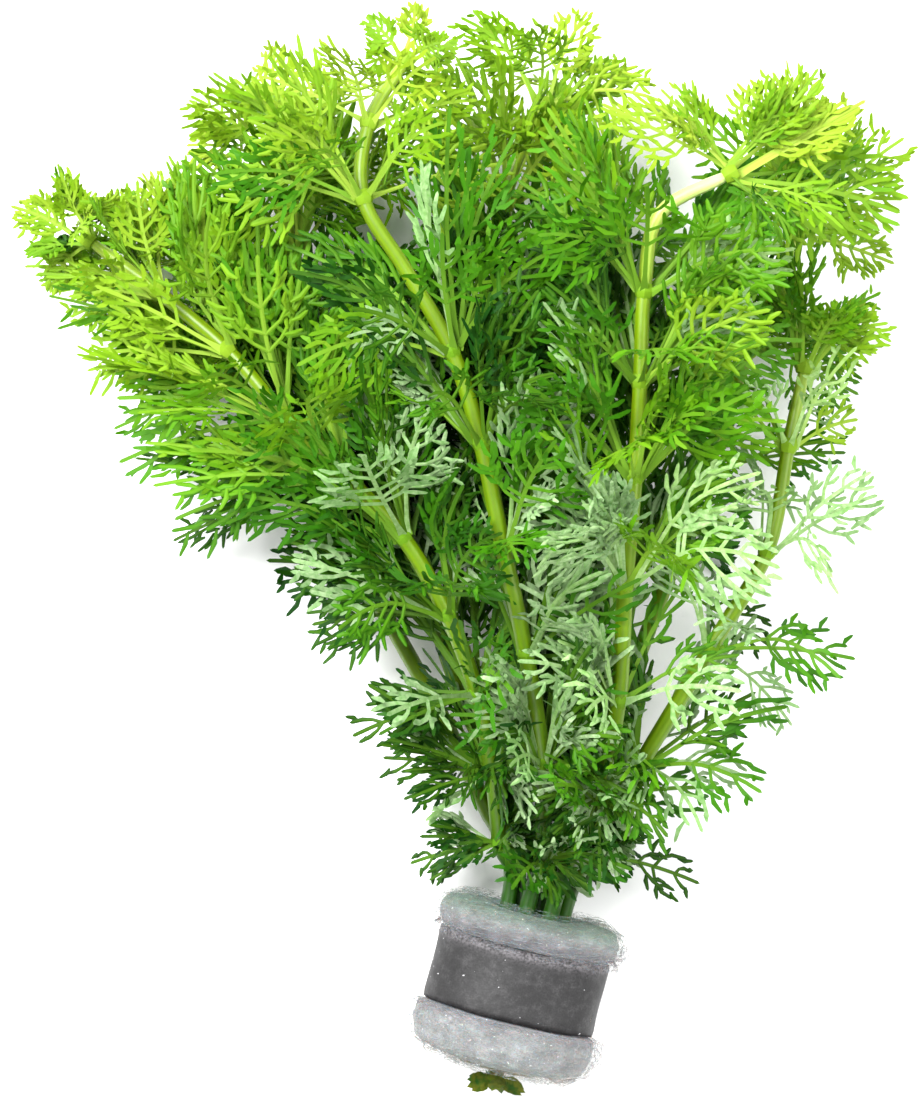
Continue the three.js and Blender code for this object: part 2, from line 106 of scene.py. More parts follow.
def skin_faces(rows, columns, closed=False):
    """Faces between neighbouring rows of a grid of points. Its columns go round, closed rows too."""
    low = np.arange(rows if closed else rows - 1)[:, None] * columns
    high = (low + columns) % (rows * columns)
    j = np.arange(columns)[None]
    k = (j + 1) % columns
    return np.stack([low + j, low + k, high + k, high + j], axis=-1).reshape(-1, 4)


def bar_faces(bars, rings, points_each):
    """The side faces of bars with rings of three points, and the number of each bar's first point."""
    first = (np.arange(bars) * points_each)[:, None, None]
    i = (np.arange(rings - 1) * 3)[None, :, None]
    j, k = np.arange(3)[None, None], np.array([[[1, 2, 0]]])
    quads = np.stack([first + i + j, first + i + k, first + i + 3 + k, first + i + 3 + j], axis=-1)
    return quads.reshape(-1, 4), first[:, 0]


def tube(path, across, radius):
    """A closed tube through path. across is one direction for each ring, radius is rings by sides."""
    rings, sides = radius.shape
    along = unit(np.gradient(path, axis=0))
    first = unit(across - along * np.sum(across * along, axis=1, keepdims=True))
    second = np.cross(along, first)
    turn = 2 * math.pi * np.arange(sides) / sides
    spokes = first[:, None] * np.cos(turn)[:, None] + second[:, None] * np.sin(turn)[:, None]
    points = (path[:, None] + spokes * radius[..., None]).reshape(-1, 3)
    points = np.concatenate([points, path[:1], path[-1:]])
    j = np.arange(sides)
    k = (j + 1) % sides
    last = (rings - 1) * sides
    start_cap = np.stack([k, j, np.full(sides, rings * sides)], axis=-1)
    end_cap = np.stack([last + j, last + k, np.full(sides, rings * sides + 1)], axis=-1)
    return points, [skin_faces(rings, sides), np.concatenate([start_cap, end_cap])]


def smooth_path(points, per_span):
    """A Catmull-Rom curve through the points."""
    ends = np.concatenate([[2 * points[0] - points[1]], points, [2 * points[-1] - points[-2]]])
    out = []
    for a, b, c, d in zip(ends, ends[1:], ends[2:], ends[3:]):
        for t in np.arange(per_span) / per_span:
            square = (2 * a - 5 * b + 4 * c - d) * t**2
            cube = (3 * b - a - 3 * c + d) * t**3
            out.append(0.5 * (2 * b + (c - a) * t + square + cube))
    out.append(points[-1])
    return np.array(out)


# %% [markdown]
# ## Colours and nodes
# Colours are read off the photograph as sRGB hex and turned to linear light by one function. One
# small function adds a node with its settings and links. Patterns take their scale from the real
# size of what they show, in millimetres.


# %% Nodes
BLACK, WHITE = "#000000", "#ffffff"
# A colour mix takes its factor and its two colours at these inputs, and its result is output 2.
FACTOR, FIRST, SECOND = 0, 6, 7
MIXED = {"data_type": "RGBA", "out": 2}
MULTIPLIED = {"blend_type": "MULTIPLY", **MIXED}


def linear(hex_colour):
    """Linear light from an sRGB colour."""
    channels = [int(hex_colour[i : i + 2], 16) / 255 for i in (1, 3, 5)]
    return [c / 12.92 if c <= 0.04045 else ((c + 0.055) / 1.055) ** 2.4 for c in channels] + [1.0]


def new_material(name):
    material = bpy.data.materials.new(name)
    material.use_nodes = True
    material.node_tree.nodes.clear()
    return material


def add(material, kind, inputs=None, out=0, stops=None, **settings):
    """A node with its settings. The function returns the output that out names.

    Each input is a value or another node's output, and a setting that the node lacks is the value
    of the input of that name. stops are a colour ramp's pairs of a position and a colour.
    """
    tree = material.node_tree
    node = tree.nodes.new("ShaderNode" + kind)
    for key, value in settings.items():
        if hasattr(node, key):
            setattr(node, key, value)
        else:
            node.inputs[key.replace("_", " ")].default_value = value
    for socket, source in (inputs or {}).items():
        if isinstance(source, bpy.types.NodeSocket):
            tree.links.new(source, node.inputs[socket])
        else:
            node.inputs[socket].default_value = source
    if stops:
        elements = node.color_ramp.elements
        while len(elements) < len(stops):
            elements.new(0.5)
        for element, (position, hex_colour) in zip(elements, stops):
            element.position = position
            element.color = linear(hex_colour)
    return node.outputs[out] if len(node.outputs) else None


# %% Patterns of a real size
def per_mm(size_mm):
    """The scale of a pattern whose lumps are about size_mm across on the real object."""
    return 1 / (size_mm * MM)


def mottling(material, size_mm, stops, detail=3.0, roughness=0.55):
    """Cloudy colours: noise with lumps of a real size, run through the stops."""
    place = add(material, "TexCoord", out="Object")
    scale = {"Scale": per_mm(size_mm), "Detail": detail, "Roughness": roughness}
    clouds = add(material, "TexNoise", {"Vector": place, **scale})
    return add(material, "ValToRGB", {"Fac": clouds}, stops=stops)


def relief(material, size_mm, depth_mm, strength, detail=2.0):
    """Low bumps of a real size and depth, which change how light falls but not the shape."""
    place = add(material, "TexCoord", out="Object")
    scale = {"Scale": per_mm(size_mm), "Detail": detail, "Roughness": 0.55}
    height = add(material, "TexNoise", {"Vector": place, **scale})
    return add(material, "Bump", {"Height": height}, Strength=strength, Distance=depth_mm * MM)


# %% [markdown]
# ## Leaf material: fresh divided leaf, satin, thin enough to let light through
# A young water-plant leaf is a lime green sheet a quarter of a millimetre thick. Its upper side is
# satin and saturated, its underside is silvery pale, the petiole and midrib are yellower. Light
# that passes through makes the green glow, so part of the shader is translucent. The oldest leaves,
# under the wrap, have gone brown in patches.

# %% Leaf material
LEAF_BLADE = [(0.0, "#0f3c03"), (0.3, "#367805"), (0.5, "#579207"), (0.7, "#7fa912"), (1.0, "#a2b832")]
LEAF_PATCHES = [(0.0, "#124604"), (0.45, "#458806"), (1.0, "#92b820")]
LEAF_RIBS = [(0.0, "#6c9c22"), (0.5, "#96be3e"), (1.0, "#bcd25c")]
LEAF_UNDERSIDE = [(0.3, "#90ba78"), (0.75, "#d6ecbc")]
LEAF_WORN = [(0.35, "#275210"), (0.6, "#6a6c1c")]


def leaf_material():
    m = new_material("fresh divided leaf, satin")
    place = add(m, "TexCoord", out="Object")
    looks = ("tone", "rib", "silver", "old")
    tone, rib, silver, old = [add(m, "Attribute", out="Fac", attribute_name=k) for k in looks]
    patchy = add(m, "TexNoise", {"Vector": place}, Scale=per_mm(2.4), Detail=3.0, Roughness=0.55)
    # tone holds each leaf's own green and painted light: lime on the outside and at the top, painted
    # shade low and behind.
    blade = add(m, "ValToRGB", {"Fac": tone}, stops=LEAF_BLADE)
    patches = add(m, "ValToRGB", {"Fac": tone}, stops=LEAF_PATCHES)
    mottled = add(m, "Mix", {FACTOR: patchy, FIRST: blade, SECOND: patches}, **MIXED)
    on_rib = add(m, "ValToRGB", {"Fac": rib}, stops=[(0.0, BLACK), (1.0, "#c8c8c8")])
    rib_green = add(m, "ValToRGB", {"Fac": tone}, stops=LEAF_RIBS)
    ribbed = add(m, "Mix", {FACTOR: on_rib, FIRST: mottled, SECOND: rib_green}, **MIXED)
    turned = add(m, "ValToRGB", {"Fac": silver}, stops=[(0.0, BLACK), (1.0, WHITE)])
    underside = mottling(m, 1.1, LEAF_UNDERSIDE)
    fresh = add(m, "Mix", {FACTOR: turned, FIRST: ribbed, SECOND: underside}, **MIXED)
    aged = add(m, "ValToRGB", {"Fac": old}, stops=[(0.0, BLACK), (1.0, WHITE)])
    worn = mottling(m, 1.8, LEAF_WORN)
    colour = add(m, "Mix", {FACTOR: aged, FIRST: fresh, SECOND: worn}, **MIXED)
    fine = relief(m, 0.5, 0.05, 0.5)
    surface = add(
        m,
        "BsdfPrincipled",
        {"Base Color": colour, "Normal": fine},
        Roughness=0.55,
        IOR=1.33,
        Specular_IOR_Level=0.35,
    )
    through = add(m, "BsdfTranslucent", {"Color": colour, "Normal": fine})
    thin = add(m, "MixShader", {1: surface, 2: through}, Fac=0.35)
    add(m, "OutputMaterial", {"Surface": thin})
    return m


leaf_finish = leaf_material()
print(leaf_finish.name, "has", len(leaf_finish.node_tree.nodes), "nodes")

# %% [markdown]
# ## Reading the frame
# A stem's solid is a tube whose rings stand at its nodes. Points within a ring's width of each
# other belong to one ring, and the rings' middles are the stem's own path.


# %% Stem paths
RING_WIDTH = 3.5 * MM
RING_HALF_HEIGHT = 1.1 * MM


def node_mesh(name):
    """The node's points with those at one place merged, and its triangles."""
    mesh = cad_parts[name].data
    points = np.empty(len(mesh.vertices) * 3)
    mesh.vertices.foreach_get("co", points)
    places, merged = np.unique(np.round(points.reshape(-1, 3) / MM, 3), axis=0, return_inverse=True)
    merged = merged.reshape(-1)
    mesh.calc_loop_triangles()
    triangles = np.array([[merged[i] for i in t.vertices] for t in mesh.loop_triangles])
    return places * MM, triangles


def stem_path(name):
    points, _ = node_mesh(name)
    rings = []
    for point in points:
        near = [r for r in rings if np.linalg.norm(np.mean(r, axis=0) - point) < RING_WIDTH * 0.8]
        if near:
            near[0].append(point)
        else:
            rings.append([point])
    middles = np.array([np.mean(ring, axis=0) for ring in rings])
    return middles[np.argsort(middles[:, 1])]


stem_names = sorted(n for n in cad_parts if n.startswith("stem_"))
paths = {n[len("stem_") :]: stem_path(n) for n in stem_names}
print({k: len(v) for k, v in paths.items()})

# %% [markdown]
# ## Reading the leaves
# A whorl's solid is a ring round the stem with its leaves fused to it. Without the ring's points
# it falls apart into leaves, each with two points over and under its hub, and an outline that runs
# from heel to heel through fingertips and notches. That gives the place, length, width and turn of
# every real leaf.


# %% Leaf shapes
# A leaf with three fingers has 9 points, and one with five has 13.
LEAF_POINTS = (9, 13)
# The scraps lie close to the stem, so their points are told from a ring's more strictly.
SCRAP_SLACK = 0.03 * MM


def whorl_centre(points, path):
    """The stem's node that most of the whorl's points are close to."""
    close = [np.sum(np.linalg.norm(points - middle, axis=1) < RING_WIDTH) for middle in path]
    return int(np.argmax(close))


def connected(links, members):
    """The groups of members that the links join."""
    left, groups = set(members), []
    while left:
        group, edge = set(), {left.pop()}
        while edge:
            group |= edge
            edge = {n for e in edge for n in links[e]} & left
            left -= edge
        groups.append(sorted(group))
    return groups


def ring_points(points, centre, axis, slack):
    """Which points belong to the ring: close to the stem, on a face of the ring, with a twin opposite."""
    offset = points - centre
    height = offset @ axis
    distance = np.linalg.norm(offset - height[:, None] * axis, axis=1)
    mirrored = points - 2 * height[:, None] * axis
    gaps = np.linalg.norm(mirrored[:, None] - points[None], axis=2).min(axis=1)
    on_face = np.abs(np.abs(height) - RING_HALF_HEIGHT) < slack
    return (distance < RING_WIDTH) & on_face & (gaps < slack)


def walked(inside, hub, heel):
    """The rim's points in order, from one heel to the other."""
    walk, seen = [heel], {heel}
    while True:
        ahead = [i for i in inside[walk[-1]] - set(hub) if i not in seen]
        if not ahead:
            return walk
        walk.append(ahead[0])
        seen.add(ahead[0])


def read_leaves(name, path, slack=0.4 * MM):
    """Where a whorl stands and every leaf of its solid: hub, fingertips from left to right."""
    points, triangles = node_mesh(name)
    index = whorl_centre(points, path)
    centre = path[index]
    axis = unit(path[min(index + 1, len(path) - 1)] - path[max(index - 1, 0)])
    in_ring = ring_points(points, centre, axis, slack)
    links = {i: set() for i in range(len(points))}
    for a, b, c in triangles:
        links[a] |= {b, c}
        links[b] |= {a, c}
        links[c] |= {a, b}
    leaves = []
    for group in connected(links, np.flatnonzero(~in_ring)):
        inside = {i: links[i] & set(group) for i in group}
        hub = sorted(group, key=lambda i: -len(inside[i]))[:2]
        rim = [i for i in group if i not in hub]
        heels = [i for i in rim if len(inside[i] - set(hub)) == 1]
        if len(group) not in LEAF_POINTS or len(heels) != 2:
            print("not read in", name, len(group), len(heels))
            continue
        tips = points[walked(inside, hub, heels[0])[1::2]]
        leaves.append({"hub": points[hub].mean(axis=0), "tips": tips})
    return {"name": name, "centre": centre, "axis": axis, "leaves": leaves}


whorl_names = sorted(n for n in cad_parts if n.startswith("whorl_"))
whorls = []
for whorl_name in whorl_names:
    stem_of = whorl_name[len("whorl_") :].rsplit("_", 1)[0]
    read = read_leaves(whorl_name, paths[stem_of])
    read["stem"] = stem_of
    whorls.append(read)
scraps = read_leaves("leaf_scraps", paths["back_centre"], SCRAP_SLACK)
print("leaves read", sum(len(w["leaves"]) for w in whorls), "scraps", len(scraps["leaves"]))

# %% [markdown]
# ## One leaf
# The real leaf is pinnate twice over: a flat petiole, a midrib, four or five pairs of side ribs,
# and on each of them narrow lobes with round ends about a millimetre wide that point forward. It is
# drawn flat first, from (0, 0) at the petiole's base to (1, 0) at the tip. Then it is laid on the
# curved surface between the leaf's hub and its fingertips. Leaves low in the bunch are coarser, with
# fewer and wider lobes, and the scraps under the wrap have lost theirs.

# %% Flat leaf pattern
PETIOLE_SHARE = 0.42
FULL_ANGLE = math.radians(37)
SLIM_ANGLE = math.radians(33)
# Where each pair of side ribs leaves the midrib, where it ends, and how many lobes it carries.
FULL_LEAF = [
    (0.370, 0.560, 0.235, 4),
    (0.440, 0.690, 0.245, 4),
    (0.540, 0.810, 0.205, 4),
    (0.660, 0.900, 0.150, 3),
    (0.790, 0.965, 0.085, 2),
]
# Leaves low in the bunch, the slimmer ones that stand between others, and the scraps.
LOW_LEAF = [(0.42, 0.67, 0.185, 3), (0.57, 0.84, 0.165, 2), (0.76, 0.95, 0.09, 1)]
LOW_SLIM_LEAF = [(0.42, 0.72, 0.14, 2), (0.62, 0.92, 0.10, 1)]
SCRAP_LEAF = [(0.30, 0.72, 0.22, 0), (0.55, 0.90, 0.16, 0)]
SLIM_LEAF = [(0.38, 0.63, 0.185, 4), (0.50, 0.79, 0.17, 4), (0.67, 0.93, 0.11, 2)]


def lobe_table(ribs):
    """For every lobe of a leaf: its rib, its share of the way along the rib, and its side of it."""
    rows = []
    for side in range(2):
        for number, (_, _, _, lobes) in enumerate(ribs):
            for lobe in range(lobes):
                share = 0.84 - 0.50 * lobe / max(lobes - 0.6, 1)
                rows.append((side * len(ribs) + number, share, 1 if lobe % 2 else -1))
    return np.array(rows).reshape(-1, 3)


def arcs(start, end, bow, count):
    """Shallow arcs from each start to its end, as rows by count by 2."""
    t = np.linspace(0, 1, count)
    way = end - start
    side = np.stack([-way[:, 1], way[:, 0]], axis=1) * bow[:, None]
    return start[:, None] + t[:, None] * way[:, None] + (4 * t * (1 - t))[:, None] * side[:, None]


def flat_leaf(ribs, table):
    """The side ribs and the lobes, with four and three points each, in reaches."""
    count = len(ribs)
    girth = rng.uniform(0.8, 1.1)
    fork = FULL_ANGLE if ribs is FULL_LEAF else SLIM_ANGLE
    sides = np.repeat([-1.0, 1.0], count)
    rib = np.tile(np.array(ribs)[:, :3], (2, 1))
    roots = np.stack([rib[:, 0] + rng.normal(0, 0.008, 2 * count), np.zeros(2 * count)], axis=1)
    spread = 1 + rng.normal(0, 0.09, 2 * count)
    reach = rib[:, 1] + rng.normal(0, 0.026, 2 * count)
    ends = np.stack([reach, sides * rib[:, 2] * spread * girth], axis=1)
    spines = arcs(roots, ends, sides * (0.12 + rng.normal(0, 0.05, 2 * count)), 4)
    of = table[:, 0].astype(int)
    share = np.clip(table[:, 1] + rng.normal(0, 0.025, len(table)), 0.25, 0.92)
    step = share * 3
    low = np.minimum(step.astype(int), 2)
    part = (step - low)[:, None]
    at = spines[of, low] * (1 - part) + spines[of, low + 1] * part
    way = ends - roots
    turn = fork + rng.normal(0, 0.13, len(table))
    heading = np.arctan2(way[of, 1], way[of, 0]) + table[:, 2] * turn
    uneven = 1 + rng.normal(0, 0.2, len(table))
    size = np.linalg.norm(way[of], axis=1) * (0.50 - 0.20 * share) * uneven
    tips = at + size[:, None] * np.stack([np.cos(heading), np.sin(heading)], axis=1)
    return spines, arcs(at, tips, table[:, 2] * 0.11, 3)


# %% [markdown]
# The flat leaf is laid on a curved surface. Its midline follows the petiole to the hub and bends
# over to the middle fingertip, and its two edges go through the outer fingertips.

# %% Laying the leaf on its surface
FLOOR = 0.7 * MM
# Where the outer fingertips of a fan with three and with five fingers lie on the flat leaf.
OUTER_TIP_OF_THREE = (0.742, 0.334)
OUTER_TIP_OF_FIVE = (0.519, 0.346)


def leaf_surface(base, leaf, twist):
    """A function from flat leaf coordinates to space, the leaf's reach and its upper direction."""
    hub, tips = leaf["hub"], leaf["tips"]
    left, middle, right = tips[0], tips[len(tips) // 2], tips[-1]
    reach = np.linalg.norm(hub - base) / PETIOLE_SHARE
    blade = middle - hub
    start_way = unit(hub - base) * np.linalg.norm(blade)
    turn = 0.55 * (start_way - blade)
    edge_x, edge_y = OUTER_TIP_OF_THREE if len(tips) == 3 else OUTER_TIP_OF_FIVE
    across = (right - left) / (2 * edge_y)
    normal = unit(np.cross(blade, across))

    def midline(x):
        s = np.clip((x - PETIOLE_SHARE) / (1 - PETIOLE_SHARE), 0, 1.1)[..., None]
        p = np.clip(x / PETIOLE_SHARE, 0, 1)[..., None]
        return base + p * (hub - base) + s * blade + s * (1 - s) * turn

    bows = {}
    for side, tip in ((-1, left), (1, right)):
        flat = midline(np.array(edge_x)) + side * edge_y * across
        bows[side] = tip - flat

    def place(points):
        x, y = points[..., 0], points[..., 1]
        w = ((y / edge_y) ** 2)[..., None]
        bow = np.where((y < 0)[..., None], bows[-1], bows[1]) * np.clip(w, 0, 1.2)
        angle = twist * np.clip((x - 0.3) / 0.7, 0, 1)[..., None]
        sideways = across * np.cos(angle) + normal * np.linalg.norm(across) * np.sin(angle)
        return midline(x) + y[..., None] * sideways + bow

    return place, reach, normal


# %% [markdown]
# Every rib and lobe becomes a closed flat strip with a low ridge along its middle: a left edge, the
# ridge and a right edge at each step, and a rounded tip. All strips of a whorl with one number of
# steps are made in one go.

# %% Strips
THICKNESS = 0.18 * MM
TIP_LENGTH = 0.85


def strips(path, width, normal):
    """Closed strips along path, rows by steps by 3: their points and faces."""
    rows, steps = path.shape[:2]
    along = unit(np.gradient(path, axis=1))
    side = unit(np.cross(along, normal[:, None]))
    up = np.cross(side, along)
    half = side * (width / 2)[..., None]
    ridge = up * (THICKNESS * np.clip(width / width.max(), 0.5, 1))[..., None]
    ring = np.stack([path - half, path + ridge, path + half], axis=2)
    tip = path[:, -1] + along[:, -1] * width[:, -1:] * TIP_LENGTH
    points = np.concatenate([ring.reshape(rows, steps * 3, 3), tip[:, None]], axis=1)
    quads, first = bar_faces(rows, steps, steps * 3 + 1)
    # A strip's ring runs from left to right, so its faces are turned over.
    quads = quads[:, [1, 0, 3, 2]]
    last = first + (steps - 1) * 3
    ends = [first + np.array([[0, 1, 2]])]
    for j, k in ((0, 1), (1, 2), (2, 0)):
        ends.append(np.concatenate([last + k, last + j, first + steps * 3], axis=1))
    return points.reshape(-1, 3), [quads, np.concatenate(ends)]


def per_point(values, vein=0.0):
    """One value for each step of each strip, as one for each of its points, more on its ridge."""
    rows = np.repeat(values, 3, axis=1)
    rows[:, 1::3] = rows[:, 1::3] + vein
    return np.concatenate([rows, values[:, -1:]], axis=1).reshape(-1)


# %% [markdown]
# ## Growing one leaf
# Real lobes lie at all angles and catch the light one by one, so each strip's flat side is turned
# partly up, and a paler vein runs along its ridge. The leaves are painted lime at the tips and on the
# outside of the bunch, as the glow of light through them, and painted deep green low down and at the
# back, as shade.

# %% Leaf sizes
LOBE_WIDTH = 0.98 * MM
LEAF_BASE = 1.5 * MM
USUAL_REACH = 28 * MM
TO_LIGHT = 0.8
VEIN = 0.3
UP = np.array([0.0, 0.0, 1.0])
STALK_STEPS = 9
STALK_X = np.linspace(0, 1, STALK_STEPS)
# The stalk is wide at its foot, slim along the petiole and wider again among the lobes.
STALK_WIDTH = np.interp(
    STALK_X,
    [0, 0.08, 0.36, 0.6, 0.85, 0.95, 1],
    [1.6, 0.9, 0.75, 0.85, 0.8, 1.0, 0.8],
)
PATTERNS = (FULL_LEAF, SLIM_LEAF, LOW_LEAF, LOW_SLIM_LEAF, SCRAP_LEAF)
TABLES = {id(ribs): lobe_table(ribs) for ribs in PATTERNS}
print("lobes on each kind of leaf", [len(TABLES[id(ribs)]) for ribs in PATTERNS])

# %% One leaf
# Painted light: tone gained for each millimetre out from the middle line, towards the tips and up
# from the back.
MIDDLE_X = 12
PAINTED_GLOW_OUT = 0.0108
PAINTED_GLOW_ALONG = 0.022
PAINTED_LIGHT_UP = 0.010


def painted_light_at(place):
    """Painted light by place: lime at the top and on the outside, painted shade low in the bunch and at
    its back.
    """
    x, y, z = place / MM
    outer = 0.35 + 0.65 * float(np.clip((y + 25) / 60, 0, 1))
    if x < MIDDLE_X:
        outer = outer * (0.55 + 0.45 * min(1, (MIDDLE_X - x) / 80))
    lime = 0.025 + max(PAINTED_GLOW_OUT * outer * abs(x - MIDDLE_X), PAINTED_GLOW_ALONG * (y - 50))
    lime = lime + PAINTED_LIGHT_UP * (z - 38) * float(np.clip((70 - y) / 60, 0, 1))
    lime = lime + min(0.10, 0.005 * max(0, -6 - y))
    return float(np.clip(lime, 0.03, 0.76))


def kept_above_floor(points):
    """Leaf parts that would pass through the surface lie on it."""
    points[..., 2] = np.maximum(points[..., 2], FLOOR)
    return points


def grow_leaf(grown, whorl, leaf, ribs, lobe_width, tone, silver, twist):
    """Add a leaf's stalk, side ribs and lobes to grown, a list for each number of steps."""
    centre, axis = whorl["centre"], whorl["axis"]
    radial = leaf["hub"] - centre
    radial = unit(radial - axis * (radial @ axis))
    base = centre + radial * LEAF_BASE + axis * rng.normal(0, 0.25) * MM
    place, reach, normal = leaf_surface(base, leaf, twist)
    facing = unit(normal + TO_LIGHT * UP * (1 if normal[2] >= 0 else -1))
    if rng.random() < 0.5:
        normal, facing = -normal, -facing
    width = lobe_width * np.clip(reach / USUAL_REACH, 0.88, 1.1)
    spines, lobes = flat_leaf(ribs, TABLES[id(ribs)])
    stalk = place(np.stack([STALK_X, np.zeros(STALK_STEPS)], axis=-1))[None]
    shapes = (
        (stalk, STALK_WIDTH[None], (1 - 0.75 * STALK_X**1.5)[None]),
        (place(spines), np.array([[0.75, 0.7, 0.95, 0.8]]), np.array([[0.35, 0.25, 0.08, 0.0]])),
        (place(lobes), np.array([[0.5, 1.05, 0.68]]), np.zeros((1, 3))),
    )
    for path, widths, rib in shapes:
        rows, steps = path.shape[:2]
        if not rows:
            continue
        if rows > 1:
            curl = rng.normal(0, 0.05, (rows, 1)) * reach * np.linspace(0, 1, steps) ** 1.5
            path = path + curl[..., None] * normal
        shade = np.clip(tone + rng.normal(0, 0.035, (rows, 1)), 0, 1)
        grown[steps].append(
            (
                kept_above_floor(path),
                np.repeat(widths * width, rows // len(widths), axis=0),
                np.repeat(facing[None], rows, axis=0),
                np.repeat(rib, rows // len(rib), axis=0),
                np.repeat(shade, steps, axis=1),
                np.repeat(silver * rng.uniform(0.6, 1.0, (rows, 1)), steps, axis=1),
            )
        )


# %% [markdown]
# ## Slimmer leaves between the leaves
# The bunch is much denser than one ring of leaves at each node. Slimmer leaves, some edge on as in
# the photograph, are made from a whorl's own leaves, turned round the stem and drawn in. Seen from
# above they stay over the solids or just beside them, apart from a few openings between whorls
# that the real bunch fills with leaves.

# %% Cells under the leaves
GRID = 1.0 * MM
REACH_CELLS = 3
MASK_MARGIN = 5 * MM
# The two corners of each opening between whorls that slimmer leaves fill, in millimetres.
FILLED_OPENINGS = [((14, 72), (47, 97)), ((-6, -62), (8, -38)), ((18, -40), (34, -2))]


def widened(covered):
    """The cells that are covered or touch a covered one."""
    wider = covered.copy()
    wider[1:] |= covered[:-1]
    wider[:-1] |= covered[1:]
    wider[:, 1:] |= covered[:, :-1]
    wider[:, :-1] |= covered[:, 1:]
    return wider


def solids_from_above():
    """A grid of cells over the bunch, true where a leaf's or a stem's solid lies, or just beside it."""
    low = np.array(cad_box[0])[:2] - MASK_MARGIN
    cells = np.ceil((np.array(cad_box[1])[:2] + MASK_MARGIN - low) / GRID).astype(int)
    covered = np.zeros(cells, dtype=bool)
    shares = np.array([(i / 12, j / 12) for i in range(13) for j in range(13 - i)])
    for name in whorl_names + stem_names:
        points, triangles = node_mesh(name)
        a, b, c = (points[triangles[:, k], :2] for k in range(3))
        u, v = shares[:, 0][None, :, None], shares[:, 1][None, :, None]
        spots = (a[:, None] * (1 - u - v) + b[:, None] * u + c[:, None] * v).reshape(-1, 2)
        x, y = ((spots - low) / GRID).astype(int).T
        covered[x, y] = True
    for _ in range(REACH_CELLS):
        covered = widened(covered)
    for opening in FILLED_OPENINGS:
        (x0, y0), (x1, y1) = ((np.array(opening) * MM - low) / GRID).astype(int)
        covered[x0:x1, y0:y1] = True
    return low, covered


mask_low, mask = solids_from_above()
print("cells covered", int(mask.sum()))


def inside_outline(leaf):
    """True where the leaf's tips lie over the solids, seen from above, or just beside them."""
    x, y = ((leaf["tips"][:, :2] - mask_low) / GRID).astype(int).T
    held = (x >= 0) & (y >= 0) & (x < mask.shape[0]) & (y < mask.shape[1])
    return bool(held.all() and mask[x, y].all())


# %% [markdown]
# Four stems show between the leaves, and the bunch is loose at its edges and tips. Most slimmer
# leaves that would hide one of those stems, crowd an edge or lie on the wool are left out.

# %% Where slimmer leaves stay out
# The stems that show, each with the share of its lower leaves that turn their silvery side up.
PALE_STEMS = {"centre_left": 0.42, "centre_right": 0.45, "right": 0.42, "left": 0.2}
STEM_CLEARANCE = 2.6 * MM
WOOL_TOP = -71 * MM
SHOWN_FROM = -42 * MM
SHOWN_WHOLE_FROM = 30 * MM
TIPS_END = 97 * MM
front_paths = np.concatenate([smooth_path(paths[name], 8) for name in PALE_STEMS])


def crosses_front_stem(leaf):
    """True where the leaf would lie in front of one of the stems that show in the photograph."""
    hub, tips = leaf["hub"], leaf["tips"]
    spots = np.concatenate([[hub], tips, hub + (tips - hub) * 0.33, hub + (tips - hub) * 0.67])
    aside = np.linalg.norm(spots[:, None, :2] - front_paths[None, :, :2], axis=2)
    above = spots[:, None, 2] > front_paths[None, :, 2] + 1 * MM
    return bool((above & (aside < STEM_CLEARANCE)).any())


def at_left_edge(place):
    """True in the left edge's lower half, where single leaves stand apart."""
    return place[0] < -44 * MM and place[1] < 34 * MM


def at_right_edge(place):
    """True in the right edge's lower half, where a few coarse leaves stand apart."""
    return place[0] > 38 * MM and place[1] < 32 * MM


def hides_stem(leaf):
    """True for a leaf in front of a stem that shows, apart from some low in the bunch."""
    along = leaf["hub"][1]
    hidden_share = 1.0 if along > SHOWN_WHOLE_FROM else 0.85
    return along > SHOWN_FROM and crosses_front_stem(leaf) and rng.random() < hidden_share


def crowds_edge(middle):
    """True beyond the tips, and by chance at the left and right edges."""
    right_share = 0.85 if middle[1] < -8 * MM else 0.4 if middle[1] < 8 * MM else 0.0
    if middle[1] > TIPS_END:
        return True
    if middle[0] > 36 * MM and rng.random() < right_share:
        return True
    return bool(at_left_edge(middle) and rng.random() < 0.7)


# %% Leaves between leaves
LOWEST_LEAF = 1.5 * MM


def turned(vector, axis, angle):
    cos, sin = math.cos(angle), math.sin(angle)
    return vector * cos + np.cross(axis, vector) * sin + np.outer(vector @ axis, axis) * (1 - cos)


def between_leaf(whorl, leaf, angle, roll, scale, lift):
    """A leaf like another one, turned round the stem, rolled about its own midline and drawn in."""
    centre, axis = whorl["centre"], whorl["axis"]
    spots = np.concatenate([[leaf["hub"]], leaf["tips"]]) - centre
    spots = turned(spots, axis, angle) * scale
    spots = spots + axis * np.linalg.norm(spots, axis=1, keepdims=True) * lift
    middle = unit(spots[1 + len(leaf["tips"]) // 2] - spots[0])
    spots = spots[0] + turned(spots - spots[0], middle, roll) + centre
    spots[:, 2] = np.maximum(spots[:, 2], LOWEST_LEAF)
    return {"hub": spots[0], "tips": spots[1:]}


# %% [markdown]
# Two young leaves at the far left tip are still rolled up. Each is a ball of short lobes on a
# stalk from the node.

# %% Curled young leaves
CURLED_AT = "whorl_left_10"
# The middles of the two balls, in millimetres.
CURLED_SPOTS = [(-80.0, 63.6), (-74.4, 69.4)]
CURLED_LOBES = 44


